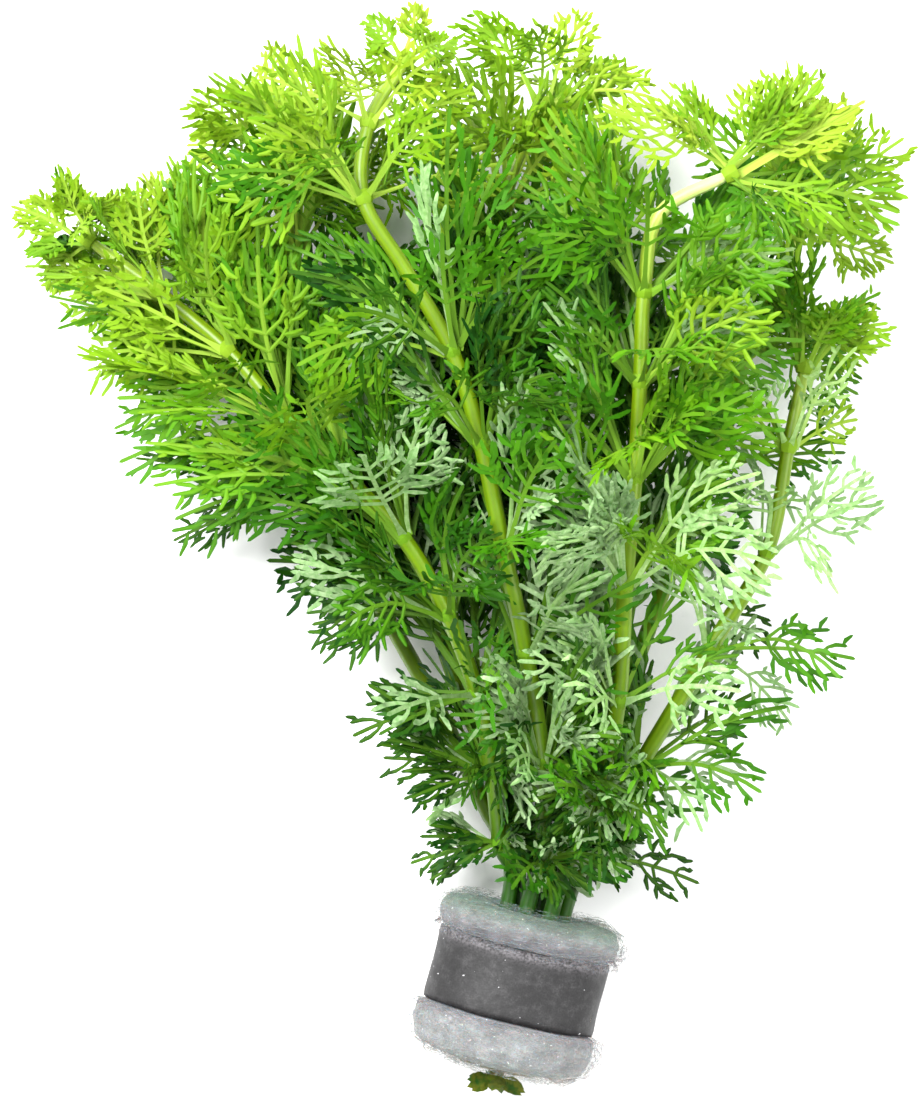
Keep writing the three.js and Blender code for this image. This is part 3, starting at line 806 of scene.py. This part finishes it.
def curled_clump(middle, centre):
    """Short lobes rolled into a ball, the first of them a stalk from the node: rows for grown."""
    count, t = CURLED_LOBES, np.linspace(0, 1, 5)
    start = unit(rng.normal(0, 1, (count, 3)))
    way = unit(np.cross(start, rng.normal(0, 1, (count, 3))))
    angle = rng.uniform(0.9, 1.6, (count, 1)) * t[None]
    radius = rng.uniform(0.9, 1.9, (count, 1, 1)) * MM
    cos, sin = np.cos(angle)[..., None], np.sin(angle)[..., None]
    path = middle + radius * (start[:, None] * cos + way[:, None] * sin)
    path[0] = centre + t[:, None] * (middle - centre)
    widths = np.repeat(np.array([[0.8, 0.9, 0.9, 0.8, 0.55]]) * MM, count, axis=0)
    shade = np.full((count, 5), 0.04)
    return (path, widths, start, np.zeros((count, 5)), shade, np.zeros((count, 5)))


# %% [markdown]
# ## Looks of a whorl's leaves
# Low in the bunch, and at the right edge, the real leaves are coarser, and many turn their silvery
# underside up. Leaves far behind and the slimmer ones between the others are painted darker, as
# shade, and the whorls' own leaves a little lighter.

# %% Leaf looks
COARSE_BELOW = -14 * MM
SILVERY_BELOW = 4 * MM
LOW_BELOW = -30 * MM
# Leaves with hubs lower than this, in millimetres, are painted darker as shade, less so near the tips.
BEHIND = 24
SOME_SILVER = 0.62


def is_coarse(centre):
    return centre[1] < COARSE_BELOW or at_right_edge(centre)


def silvery_share(whorl, leaf):
    """The chance that a leaf shows its silvery side, more for the ones in front."""
    centre = whorl["centre"]
    share = 0.05 if centre[1] < 60 * MM else 0.0
    if centre[1] < SILVERY_BELOW or at_right_edge(centre):
        share = PALE_STEMS.get(whorl.get("stem"), 0.12)
    near = 1.0 if at_right_edge(centre) else np.clip((leaf["hub"][2] / MM - 36) / 25, 0, 1)
    return share * (0.3 + 0.8 * near) * (1.4 if centre[1] < LOW_BELOW else 1.0)


def silver_of(whorl, leaf):
    """How silvery a leaf is: mostly not at all, and some leaves a lot."""
    centre = whorl["centre"]
    share = silvery_share(whorl, leaf)
    wider_share = share * (1.5 if centre[0] > 0 else 1.1)
    chance = rng.random()
    silver = rng.uniform(0.5, 0.88) if chance < share else 0.0
    if share <= chance < wider_share:
        silver = SOME_SILVER
    return silver * 0.85 if at_right_edge(centre) else silver


def shade_of(whorl, leaf, scrap, slim):
    """The leaf's tone from its place with painted light, painted shade for lying far behind or between
    others, and chance.
    """
    along = whorl["centre"][1] / MM
    painted_depth_shade = 0.014 * min(0.0, leaf["hub"][2] / MM - BEHIND) * np.clip((60 - along) / 60, 0, 1)
    painted_layer_shade = -0.06 if slim else 0.03
    tone = 0.15 if scrap else painted_light_at((leaf["hub"] + leaf["tips"].mean(axis=0)) / 2)
    return float(np.clip(tone + painted_depth_shade + painted_layer_shade + rng.normal(0, 0.11), 0, 1))


# %% [markdown]
# ## Growing every whorl
# Each whorl gets a leaf on every leaf of its solid, and slimmer ones between them: many near the
# wrap, where stems crowd together, and few at the tips. The node itself is a swollen yellowish
# ring of leaf bases.

# %% Slimmer leaves by height
WRAP_END = -45 * MM
UPPER_FROM = 35 * MM
HIGH_FROM = 72 * MM
HIGHEST_FROM = 84 * MM


def companions_at(centre, in_front):
    """How many slimmer leaves to try beside each leaf of a whorl."""
    if at_right_edge(centre):
        count = 0
    elif centre[1] < LOW_BELOW:
        count = 20 if in_front else 26
    elif centre[1] > HIGHEST_FROM:
        count = 0
    elif centre[1] > HIGH_FROM:
        count = 1
    elif centre[1] > UPPER_FROM:
        count = 3
    else:
        count = 6 if in_front else 9
    fuller_right = centre[1] > HIGH_FROM and centre[0] > 6 * MM
    return count + 4 if fuller_right else count


def companion_ranges(centre):
    """The ranges of size and of lift along the stem that slimmer leaves take."""
    if centre[1] < WRAP_END:
        return (0.4, 0.8), (-1.2, 0.9)
    if centre[1] < LOW_BELOW:
        return (0.66, 0.9), (-0.7, 1.3)
    return (0.66, 0.9), (0.1, 0.95)


# %% Whorls
NODE_RADIUS = 1.95 * MM
SCRAP_WIDTH = 2.2 * MM
LOOKS = ("rib", "tone", "silver")


def node_swelling(centre, axis):
    """A short barrel round the stem, ribbed by the bases of the leaves."""
    heights = np.linspace(-1.5, 1.5, 7) * MM
    radius = NODE_RADIUS * np.interp(np.abs(heights), [0, 0.8 * MM, 1.5 * MM], [1.0, 0.92, 0.76])
    path = centre + heights[:, None] * axis
    ribs = 1 + 0.05 * np.cos(7 * 2 * math.pi * np.arange(21) / 21)
    return tube(path, np.tile(np.array([0.01, 0.01, 1.0]), (7, 1)), radius[:, None] * ribs[None])


def joined(grown, centre, axis):
    """The strips of a whorl and its node as one mesh: points, faces and looks for each point."""
    points, faces, looks, first = [], [], {key: [] for key in LOOKS}, 0
    veins = {"rib": VEIN, "tone": 0.0, "silver": 0.0}
    for group in (part for part in grown.values() if part):
        path, width, normal, *values = (np.concatenate(part) for part in zip(*group))
        made, made_faces = strips(path, width, normal)
        points.append(made)
        faces += [face + first for face in made_faces]
        first += len(made)
        for key, value in zip(LOOKS, values):
            looks[key].append(per_point(value, veins[key]))
    node_points, node_faces = node_swelling(centre, axis)
    points.append(node_points)
    faces += [face + first for face in node_faces]
    # The node's tone takes the painted light of its place.
    for key, value in zip(LOOKS, (0.2, min(0.5 + 0.5 * painted_light_at(centre), 0.8), 0.0)):
        looks[key].append(np.full(len(node_points), value))
    return np.concatenate(points), faces, {key: np.concatenate(v) for key, v in looks.items()}


def build_whorl(whorl, lobe_width, scrap=False):
    """One piece with all the leaves of a whorl. It returns its number of triangles."""
    centre, axis = whorl["centre"], whorl["axis"]
    pattern, slim_pattern = (LOW_LEAF, LOW_SLIM_LEAF) if is_coarse(centre) else (FULL_LEAF, SLIM_LEAF)
    companions = companions_at(centre, whorl.get("stem") in PALE_STEMS)
    if scrap:
        pattern, companions = SCRAP_LEAF, 0
    elif is_coarse(centre) and not at_right_edge(centre):
        lobe_width = lobe_width * 1.15
    scales, lifts = companion_ranges(centre)
    grown = {3: [], 4: [], 5: [], STALK_STEPS: []}

    def take(leaf, ribs, width, twist):
        silver = silver_of(whorl, leaf)
        shade = shade_of(whorl, leaf, scrap, ribs is not pattern)
        grow_leaf(grown, whorl, leaf, ribs, width, shade, silver, rng.normal(0, twist))

    step = 2 * math.pi / max(len(whorl["leaves"]), 5)
    for leaf in whorl["leaves"]:
        hides_tip = leaf["hub"][1] > SHOWN_WHOLE_FROM and crosses_front_stem(leaf)
        thin = hides_tip or at_left_edge(leaf["tips"].mean(axis=0))
        take(leaf, slim_pattern if thin else pattern, lobe_width, 0.25)
        for _ in range(companions):
            angle = step * rng.uniform(0.1, 0.9)
            roll = rng.uniform(-0.85, 0.85)
            scale, lift = rng.uniform(*scales), rng.uniform(*lifts)
            between = between_leaf(whorl, leaf, angle, roll, scale, lift)
            hides = hides_stem(between)
            crowds = crowds_edge(between["tips"].mean(axis=0))
            over_wool = between["tips"][:, 1].min() < WOOL_TOP
            if inside_outline(between) and not (hides or over_wool or crowds):
                take(between, slim_pattern, lobe_width * 0.92, 0.6)
    if whorl["name"] == CURLED_AT:
        for spot in CURLED_SPOTS:
            grown[5].append(curled_clump(np.array([*spot, centre[2] / MM]) * MM, centre))
    points, faces, looks = joined(grown, centre, axis)
    if scrap:
        looks["old"] = np.full(len(points), 0.85)
    attributes = {key: ("POINT", value) for key, value in looks.items()}
    name = whorl["name"] + "_leaves"
    made = piece(name, points, faces, [whorl["name"]], attributes, smooth=False)
    made.data.materials.append(leaf_finish)
    return sum(len(f) * (f.shape[1] - 2) for f in faces)


total = sum(build_whorl(whorl, LOBE_WIDTH) for whorl in whorls)
total += build_whorl(scraps, SCRAP_WIDTH, scrap=True)
print("leaf triangles", total)

# %% [markdown]
# ## Stems: fresh ribbed water-plant stem, slightly waxy
# The stems are 3 to 3.5 mm thick and ribbed lengthwise, olive to yellow-green below and pale lime
# near the tips, with yellower nodes.

# %% Stem material
# From the cut end to the tip: brown at the cut, painted shade low in the bunch, olive, then pale lime.
STEM_COLOURS_AND_PAINTED_SHADE = [
    (0.0, "#5a5a24"),
    (0.05, "#1c4406"),
    (0.12, "#245006"),
    (0.2, "#4a6c04"),
    (0.4, "#5e7e04"),
    (0.77, "#6a8804"),
    (0.87, "#9cb83c"),
    (1.0, "#cfe08e"),
]


def stem_material():
    m = new_material("fresh ribbed stem, waxy")
    place = add(m, "TexCoord", out="Object")
    age, groove = [add(m, "Attribute", out="Fac", attribute_name=k) for k in ("age", "groove")]
    base = add(m, "ValToRGB", {"Fac": age}, stops=STEM_COLOURS_AND_PAINTED_SHADE)
    # The grooves between the ribs are painted darker, as shade.
    painted_groove_shade = add(m, "ValToRGB", {"Fac": groove}, stops=[(0.0, "#4c7a16"), (1.0, WHITE)])
    groove_shaded = add(m, "Mix", {FACTOR: 0.45, FIRST: base, SECOND: painted_groove_shade}, **MULTIPLIED)
    blotchy = add(m, "TexNoise", {"Vector": place}, Scale=per_mm(3.0), Detail=3.0, Roughness=0.55)
    spotted = add(m, "Mix", {FACTOR: blotchy, FIRST: groove_shaded, SECOND: base}, **MIXED)
    surface = add(
        m,
        "BsdfPrincipled",
        {"Base Color": spotted, "Normal": relief(m, 0.4, 0.05, 0.4)},
        Roughness=0.38,
        IOR=1.4,
        Subsurface_Weight=0.15,
        Subsurface_Scale=0.0015,
    )
    add(m, "OutputMaterial", {"Surface": surface})
    return m


stem_finish = stem_material()

# %% Stems
STEM_SIDES = 16
STEM_RIBS = 8
RIB_HEIGHT = 0.045
# The one stem whose bare tip shows is pale lime there. The others stay greener.
PALE_TIPPED = "centre_right"
GREENER = 0.86


def build_stem(name, path):
    """A ribbed tube along the stem's path, thinner towards its tip."""
    fine = smooth_path(path, 7)
    share = np.linspace(0, 1, len(fine))
    thick = np.interp(share, [0, 0.5, 0.9, 0.98, 1], [1.7, 1.65, 1.35, 1.2, 0.8]) * MM
    turn = 2 * math.pi * np.arange(STEM_SIDES) / STEM_SIDES
    rib = np.cos(STEM_RIBS * turn)
    radius = thick[:, None] * (1 + RIB_HEIGHT * rib[None])
    points, faces = tube(fine, np.tile(np.array([0.3, 0.0, 1.0]), (len(fine), 1)), radius)
    age = share if name == PALE_TIPPED else share * GREENER
    ages = np.append(np.repeat(age, STEM_SIDES), [0, 1])
    grooves = np.append(np.tile((rib + 1) / 2, len(fine)), [0.5, 0.5])
    attributes = {"age": ("POINT", ages), "groove": ("POINT", grooves)}
    made = piece(f"stem_{name}_skin", points, faces, [f"stem_{name}"], attributes)
    made.data.materials.append(stem_finish)


for stem_name, path in paths.items():
    build_stem(stem_name, path)
print("stems", {n: round(float(np.ptp(path[:, 1])) / MM) for n, path in paths.items()}, "mm long")

# %% [markdown]
# ## The wrap's own axes
# The wrap leans to the right, so its pieces are made along its own axes: across it, up from the
# surface, and along it towards the tips. They come from the strip's box and the driving sizes.

# %% Wrap axes
# Sizes of the wrap, in millimetres. Its middle is WRAP_HEIGHT above the surface, and the strip sags
# towards the cut ends where it faces the camera.
LEAN = math.radians(14)
WRAP_HEIGHT = 14.2
STRIP_SAG = 0.7
STRIP_HALF_WIDTH = 18.0
STRIP_HALF_DEPTH = 12.6
STRIP_THICKNESS = 1.2
STRIP_WIDTH = 15.0
strip_low, strip_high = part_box("lead_strip")
wrap_centre = np.array((strip_low + strip_high) / 2)
wrap_centre[2] = WRAP_HEIGHT * MM
wrap_across = np.array([math.cos(LEAN), -math.sin(LEAN), 0.0])
wrap_along = np.array([math.sin(LEAN), math.cos(LEAN), 0.0])


def in_wrap(across, up, along):
    """Points in space from millimetres along the wrap's axes."""
    offset = across[..., None] * wrap_across + up[..., None] * UP + along[..., None] * wrap_along
    return wrap_centre + offset * MM


def sag(turn):
    """How far the strip and the wool beside it sag, for angles round the wrap."""
    return STRIP_SAG * np.clip(np.sin(turn), 0, 1) ** 2


print("strip's middle at", [round(float(c) / MM, 1) for c in wrap_centre], "mm")

# %% [markdown]
# ## Lead strip: dull lead sheet, rolled and oxidised
# A strip of lead sheet about a millimetre thick is wound once round the wool by hand, so its edges
# wave a little and its face has shallow dents. The surface is dark grey oxide, mottled, with a few
# white specks. Wisps of the wool lie on its upper edge, as a pale haze.


# %% Lead material
def lead_material():
    m = new_material("dull lead sheet, oxidised")
    place = add(m, "TexCoord", out="Object")
    fluff = add(m, "Attribute", out="Fac", attribute_name="fluff")
    clouds = mottling(m, 2.6, [(0.3, "#141314"), (0.5, "#222122"), (0.75, "#424142")], 6.0, 0.72)
    grain = mottling(m, 0.35, [(0.3, "#5c5c5c"), (0.7, WHITE)], 2.0)
    worn = add(m, "Mix", {FACTOR: 0.7, FIRST: clouds, SECOND: grain}, **MULTIPLIED)
    wisps = mottling(m, 0.5, [(0.35, BLACK), (0.6, WHITE)])
    haze = add(m, "Mix", {FACTOR: 1.0, FIRST: fluff, SECOND: wisps}, **MULTIPLIED)
    hazy = add(m, "Mix", {FACTOR: haze, FIRST: worn, SECOND: linear("#7d797d")}, **MIXED)
    specks = mottling(m, 0.9, [(0.77, BLACK), (0.79, WHITE)], 1.0)
    colour = add(m, "Mix", {FACTOR: specks, FIRST: hazy, SECOND: linear("#c9c9cb")}, **MIXED)
    rubbed = add(m, "TexNoise", {"Vector": place}, Scale=per_mm(2.5), Detail=3.0, Roughness=0.55)
    rough = add(m, "MapRange", {"Value": rubbed}, To_Min=0.5, To_Max=0.72)
    dents = relief(m, 1.4, 0.15, 0.45, 4.0)
    inputs = {"Base Color": colour, "Normal": dents, "Roughness": rough}
    surface = add(m, "BsdfPrincipled", inputs, Metallic=0.15)
    add(m, "OutputMaterial", {"Surface": surface})
    return m


# %% Lead strip
# The strip starts underneath, and its end laps over its start there.
STRIP_START = math.radians(-75)
STRIP_LAP = math.radians(32)
LAP_RISE = math.radians(40)
LAP_LIFT = 1.5
STRIP_STEPS = 200
STRIP_ROWS = 14


def build_strip():
    """A waved and dented sheet wound once round the wool, and lifted where it laps."""
    turns, rows = STRIP_STEPS, STRIP_ROWS
    wound = np.linspace(0, 2 * math.pi + STRIP_LAP, turns)
    s = np.clip((wound - (2 * math.pi - LAP_RISE)) / LAP_RISE, 0, 1)
    lift = LAP_LIFT * s * s * (3 - 2 * s)
    angle = STRIP_START + wound
    half = STRIP_WIDTH / 2
    row = np.linspace(-1, 1, rows)
    wave = 0.12 * np.sin(3 * angle) + 0.08 * np.sin(7 * angle + 1)
    dent = 0.10 * np.sin(5 * angle[:, None] + 2.5 * row[None]) * np.cos(1.5 * row)[None]
    waist = -0.25 * (1 - row[None] ** 2)
    edge = 0.22 * np.clip((np.abs(row[None]) - 0.85) / 0.15, 0, 1) ** 2

    def skin(offset, rounding):
        a = (STRIP_HALF_WIDTH + offset + lift)[:, None] + dent + waist - rounding * edge
        b = (STRIP_HALF_DEPTH + offset + lift)[:, None] + dent + waist - rounding * edge
        along = half * row[None] + wave[:, None] * np.sign(row)[None] * np.abs(row)[None] ** 3
        along = along - sag(angle)[:, None]
        return in_wrap(a * np.cos(angle)[:, None], b * np.sin(angle)[:, None], along + 0 * a)

    outer, inner = skin(0.0, 1.0), skin(-STRIP_THICKNESS, -1.0)
    grid = np.concatenate([outer, inner[:, ::-1]], axis=1)
    loop = grid.shape[1]
    # The sheet is wound the other way round from a tube, so its faces are turned over.
    quads = skin_faces(turns, loop)[:, [0, 3, 2, 1]]
    caps = []
    for base, order in ((0, 1), ((turns - 1) * loop, -1)):
        for r in range(rows - 1):
            quad = [base + r, base + r + 1, base + loop - 2 - r, base + loop - 1 - r]
            caps.append(quad[::order])
    faces = [np.concatenate([quads, np.array(caps)])]
    upper_edge = np.clip((row - 0.62) / 0.33, 0, 1) ** 1.5
    fluff = np.tile(np.concatenate([upper_edge, upper_edge[::-1]]), turns)
    looks = {"fluff": ("POINT", fluff)}
    made = piece("lead_strip_sheet", grid.reshape(-1, 3), faces, ["lead_strip"], looks)
    made.data.materials.append(lead_material())
    print("lead strip", len(made.data.polygons), "faces")


build_strip()

# %% [markdown]
# ## Filter wool: soft white wadding, damp, half clear
# The wool bulges softly above and below the strip. Its body is a lumpy sleeve, and thousands of
# fine curled fibres lie on it, so the outline is fuzzy as the real one is. Green light from the
# plants is painted on it at its ends, and painted shade darkens it in the crease by the strip.


# %% Wool material
def wool_material(name, clear):
    m = new_material(name)
    tips, near = [add(m, "Attribute", out="Fac", attribute_name=k) for k in ("tips", "pressed")]
    clumps = mottling(m, 3.5, [(0.3, "#8a8c8c"), (0.55, "#a1a2a3"), (0.8, "#cfd0d1")], 5.0, 0.65)
    grains = mottling(m, 0.5, [(0.3, "#b8bbb9"), (0.65, WHITE)], 2.0)
    matted = add(m, "Mix", {FACTOR: 0.5, FIRST: clumps, SECOND: grains}, **MULTIPLIED)
    # Painted green light from the leaves at the wool's ends.
    painted_green_light = add(m, "ValToRGB", {"Fac": tips}, stops=[(0.0, WHITE), (1.0, "#9acfa6")])
    tinted = add(m, "Mix", {FACTOR: 1.0, FIRST: matted, SECOND: painted_green_light}, **MULTIPLIED)
    # Painted shade in the crease beside the strip.
    pressed = add(m, "ValToRGB", {"Fac": near}, stops=[(0.0, WHITE), (1.0, "#e4dce4")])
    tinted = add(m, "Mix", {FACTOR: 1.0, FIRST: tinted, SECOND: pressed}, **MULTIPLIED)
    # Painted highlights: small white glints on the wool.
    painted_glints = mottling(m, 0.6, [(0.72, BLACK), (0.76, WHITE)], 1.0)
    colour = add(m, "Mix", {FACTOR: painted_glints, FIRST: tinted, SECOND: linear("#f6faf7")}, **MIXED)
    surface = add(
        m,
        "BsdfPrincipled",
        {"Base Color": colour, "Normal": relief(m, 0.7, 0.35, 0.7, 4.0)},
        Roughness=0.85,
        Subsurface_Weight=0.4,
        Subsurface_Scale=0.003,
        Sheen_Weight=0.15,
    )
    through = add(m, "BsdfTranslucent", {"Color": colour})
    lit = add(m, "MixShader", {1: surface, 2: through}, Fac=0.35)
    soft = add(m, "MixShader", {1: lit, 2: add(m, "BsdfTransparent")}, Fac=clear)
    add(m, "OutputMaterial", {"Surface": soft})
    return m


# %% Wool surface
# Half width, half depth and place along the wrap, in millimetres, from the lower end's bore round
# the lower bulge, under the strip and round the upper bulge.
WOOL_PROFILE = [
    (8.5, 6.5, -17.0),
    (14.5, 11.6, -17.9),
    (18.2, 14.6, -15.9),
    (19.9, 15.9, -12.0),
    (19.4, 15.4, -8.6),
    (16.5, 11.1, -7.6),
    (16.5, 11.1, 7.6),
    (18.6, 13.4, 7.9),
    (19.5, 14.9, 9.6),
    (19.8, 15.7, 11.6),
    (18.4, 14.8, 13.8),
    (14.6, 11.8, 15.3),
    (8.5, 6.5, 14.6),
]

FUZZ = 2.0
# Waves round the wool, their pitch along it, and their height and phase.
LUMP_WAVES = [(3, 0.25, 0.35, 0.4), (5, 0.5, 0.28, 2.1), (9, 0.9, 0.2, 4.0), (14, 1.4, 0.14, 1.2)]


def lumps(angle, along):
    """Low lumps of the wool, in millimetres, from a few waves at odd spacings."""
    out = 0.0
    for waves, pitch, size, phase in LUMP_WAVES:
        out = out + size * np.sin(waves * angle + phase + 1.7 * np.sin(pitch * along + phase))
    return out


def wool_surface(turn, profile_place, stand=0.0):
    """Points of the wool for angles round it, places along its profile and a height over it."""
    stations = np.array(WOOL_PROFILE)
    t = profile_place * (len(stations) - 1)
    a, b, along = (np.interp(t, np.arange(len(stations)), stations[:, k]) for k in range(3))
    swell = np.clip((a - 16.5) / 3.4, 0, 1)
    puff = swell * lumps(turn, along) * 0.6 + stand * (0.3 + 0.7 * swell)
    along = along + 0.6 * stand * np.sign(along) * np.clip((18 - a) / 3, 0, 1)
    along = along - sag(turn)
    across = (a + puff) * np.cos(turn)
    up = np.maximum((b + puff) * np.sin(turn), -WRAP_HEIGHT + 0.02)
    return across, up, along


def green_light_near_leaves(along):
    """Painted green light from the plants, at both of the wool's ends."""
    return np.clip((along - 10.5) / 4, 0, 1) + 0.3 * np.clip((-15.0 - along) / 3, 0, 1)


def crease_shade_by_strip(along):
    """Painted shade on the wool by the strip, in the crease where they meet."""
    return np.clip((10.8 - np.abs(along)) / 2.6, 0, 1)


def build_wool(finish):
    """The wool's lumpy sleeve, soft right through."""
    around, stations = 128, 90
    turn = 2 * math.pi * np.arange(around) / around
    place = np.linspace(0, 1, stations)
    turn_grid, place_grid = np.meshgrid(turn, place)
    across, up, along = wool_surface(turn_grid, place_grid, -0.5 * FUZZ)
    points = in_wrap(across, up, along).reshape(-1, 3)
    quads = skin_faces(stations, around, closed=True)
    looks = {"tips": ("POINT", green_light_near_leaves(along).reshape(-1))}
    looks["pressed"] = ("POINT", crease_shade_by_strip(along).reshape(-1))
    made = piece("wool_wadding", points, [quads], ["wool_wrap"], looks)
    made.data.materials.append(finish)


build_wool(wool_material("damp filter wool, white", 0.0))

# %% [markdown]
# The fibres lie on both bulges, a few cross the strip's edges, and some stand off. They are half
# clear, because real ones are far thinner, so they soften the outline without darkening it.

# %% Wool fibres
FIBRES = 8000
FIBRE_RINGS = 4
FIBRE_CLEAR = 0.68
SHARE_OVER_STRIP = 0.07


def fibre_paths(count):
    """Curled paths on the wool and over the strip's edges, and how far along the wrap each lies."""
    rings = FIBRE_RINGS
    kind = rng.random(count)
    place = np.where(kind < 0.5, rng.uniform(0.03, 0.39, count), rng.uniform(0.57, 0.97, count))
    turn = rng.uniform(0, 2 * math.pi, count)
    turn = np.where(rng.random(count) < 0.3, rng.uniform(0.1, math.pi - 0.1, count), turn)
    length = rng.uniform(2.0, 5.5, count)
    heading = rng.uniform(0, 2 * math.pi, count)
    curl = rng.normal(0, 1.6, count)
    t = np.linspace(-0.5, 0.5, rings)
    way = heading[:, None] + curl[:, None] * t[None]
    turn = turn[:, None] + length[:, None] / 17 * np.cumsum(np.cos(way), axis=1) / rings
    place = place[:, None] + length[:, None] / 75 * np.cumsum(np.sin(way), axis=1) / rings
    stand = (rng.random(count) ** 1.5)[:, None] * FUZZ
    stand = stand + rng.normal(0, 0.35, count)[:, None] * t[None] - 0.35
    across, up, along = wool_surface(turn, np.clip(place, 0.02, 0.98), stand)
    laps = (rng.random(count) < SHARE_OVER_STRIP)[:, None]
    strays = (8.6 - 2.2 * rng.random(count) ** 2)[:, None]
    strays = strays + length[:, None] * 0.4 * np.sin(way) * t[None]
    across = np.where(laps, (STRIP_HALF_WIDTH + 0.5) * np.cos(turn), across)
    up = np.where(laps, (STRIP_HALF_DEPTH + 0.7) * np.sin(turn), up)
    along = np.where(laps, strays - sag(turn), along)
    over_strip = np.clip((8.4 - np.abs(along)) / 1.0, 0, 1)
    scale = 1 + over_strip * (STRIP_HALF_WIDTH + 0.5) / np.maximum(np.hypot(across, up), 1) * 0.06
    return in_wrap(across * scale, np.maximum(up * scale, -WRAP_HEIGHT + 0.1), along), along


def build_fibres(finish, count):
    """Fibres with three sides each, slim at both ends."""
    rings = FIBRE_RINGS
    path, along = fibre_paths(count)
    along_way = unit(np.gradient(path, axis=1))
    first = unit(np.cross(along_way, UP + 0.01))
    second = np.cross(along_way, first)
    thick = rng.uniform(0.035, 0.075, count)[:, None] * MM * np.array([0.4, 1, 1, 0.4])[None]
    sides = 2 * math.pi * np.arange(3) / 3
    spokes = first[:, :, None] * np.cos(sides)[:, None] + second[:, :, None] * np.sin(sides)[:, None]
    points = (path[:, :, None] + spokes * thick[:, :, None, None]).reshape(-1, 3)
    quads, first_point = bar_faces(count, rings, rings * 3)
    last_ring = first_point + (rings - 1) * 3
    ends = np.concatenate([first_point + np.array([[2, 1, 0]]), last_ring + np.array([[0, 1, 2]])])
    looks = {"tips": ("POINT", np.repeat(0.4 * green_light_near_leaves(along).reshape(-1), 3))}
    looks["pressed"] = ("POINT", np.repeat(0.3 * crease_shade_by_strip(along).reshape(-1), 3))
    made = piece("wool_fibres", points, [quads, ends], [], looks)
    made.data.materials.append(finish)
    print("fibres", count)


build_fibres(wool_material("loose fibres of filter wool, half clear", FIBRE_CLEAR), FIBRES)

# %% [markdown]
# ## Floor, light and camera
# The bunch lies on a plain pale surface. Three large soft lights stand above it, and the camera
# looks straight down, so the picture shows the bunch upright as the photograph does.

# %% Stage
PIXEL = 0.2 * MM
PHOTO_SIZE = (921, 1101)
STRIP_AT_PIXEL = (518.0, 990.0)
CAMERA_HEIGHT = 1.3
# The height at which one pixel of the photograph is PIXEL wide: the level of the front stems.
SHARP_HEIGHT = 0.045
FLOOR_HALF = 3.0
SENSOR = 36


def floor_material():
    m = new_material("pale matt floor")
    faint = mottling(m, 60.0, [(0.0, "#fbfbfb"), (1.0, "#ffffff")], 2.0)
    surface = add(m, "BsdfPrincipled", {"Base Color": faint}, Roughness=0.9)
    add(m, "OutputMaterial", {"Surface": surface})
    return m


def build_floor():
    mesh = bpy.data.meshes.new("floor")
    corners = [(x * FLOOR_HALF, y * FLOOR_HALF, 0) for x, y in ((-1, -1), (1, -1), (1, 1), (-1, 1))]
    mesh.from_pydata(corners, [], [(0, 1, 2, 3)])
    floor = bpy.data.objects.new("floor", mesh)
    floor.data.materials.append(floor_material())
    bpy.context.scene.collection.objects.link(floor)


def area_light(name, place, target, size, power):
    """A round soft light that points at its target."""
    light = bpy.data.lights.new(name, "AREA")
    light.shape = "DISK"
    light.size = size
    light.energy = power
    made = bpy.data.objects.new(name, light)
    made.location = place
    made.rotation_euler = (Vector(target) - Vector(place)).to_track_quat("-Z", "Y").to_euler()
    bpy.context.scene.collection.objects.link(made)


build_floor()
area_light("key", (-0.5, 0.5, 1.1), (0, 0, 0.02), 0.7, 48)
area_light("fill", (0.8, 0.1, 0.9), (0, 0, 0.02), 0.9, 15)
area_light("low", (0.0, -0.9, 0.5), (0, -0.05, 0.03), 0.7, 5)

# %% Surroundings and camera
world = bpy.data.worlds.new("soft surroundings")
bpy.context.scene.world = world
world.use_nodes = True
world.node_tree.nodes["Background"].inputs["Color"].default_value = (1, 1, 1, 1)
world.node_tree.nodes["Background"].inputs["Strength"].default_value = 0.5

camera = bpy.data.cameras.new("camera")
camera_object = bpy.data.objects.new("camera", camera)
middle_x = wrap_centre[0] + (PHOTO_SIZE[0] / 2 - STRIP_AT_PIXEL[0]) * PIXEL
middle_y = wrap_centre[1] + (STRIP_AT_PIXEL[1] - PHOTO_SIZE[1] / 2) * PIXEL
camera_object.location = (middle_x, middle_y, CAMERA_HEIGHT)
camera.sensor_fit = "VERTICAL"
camera.sensor_height = SENSOR
camera.lens = SENSOR * (CAMERA_HEIGHT - SHARP_HEIGHT) / (PHOTO_SIZE[1] * PIXEL)
camera.clip_end = 20
bpy.context.scene.collection.objects.link(camera_object)
bpy.context.scene.camera = camera_object
bpy.context.scene.view_settings.view_transform = "Standard"
print("lens", round(camera.lens), "mm, camera", CAMERA_HEIGHT, "m above the surface")
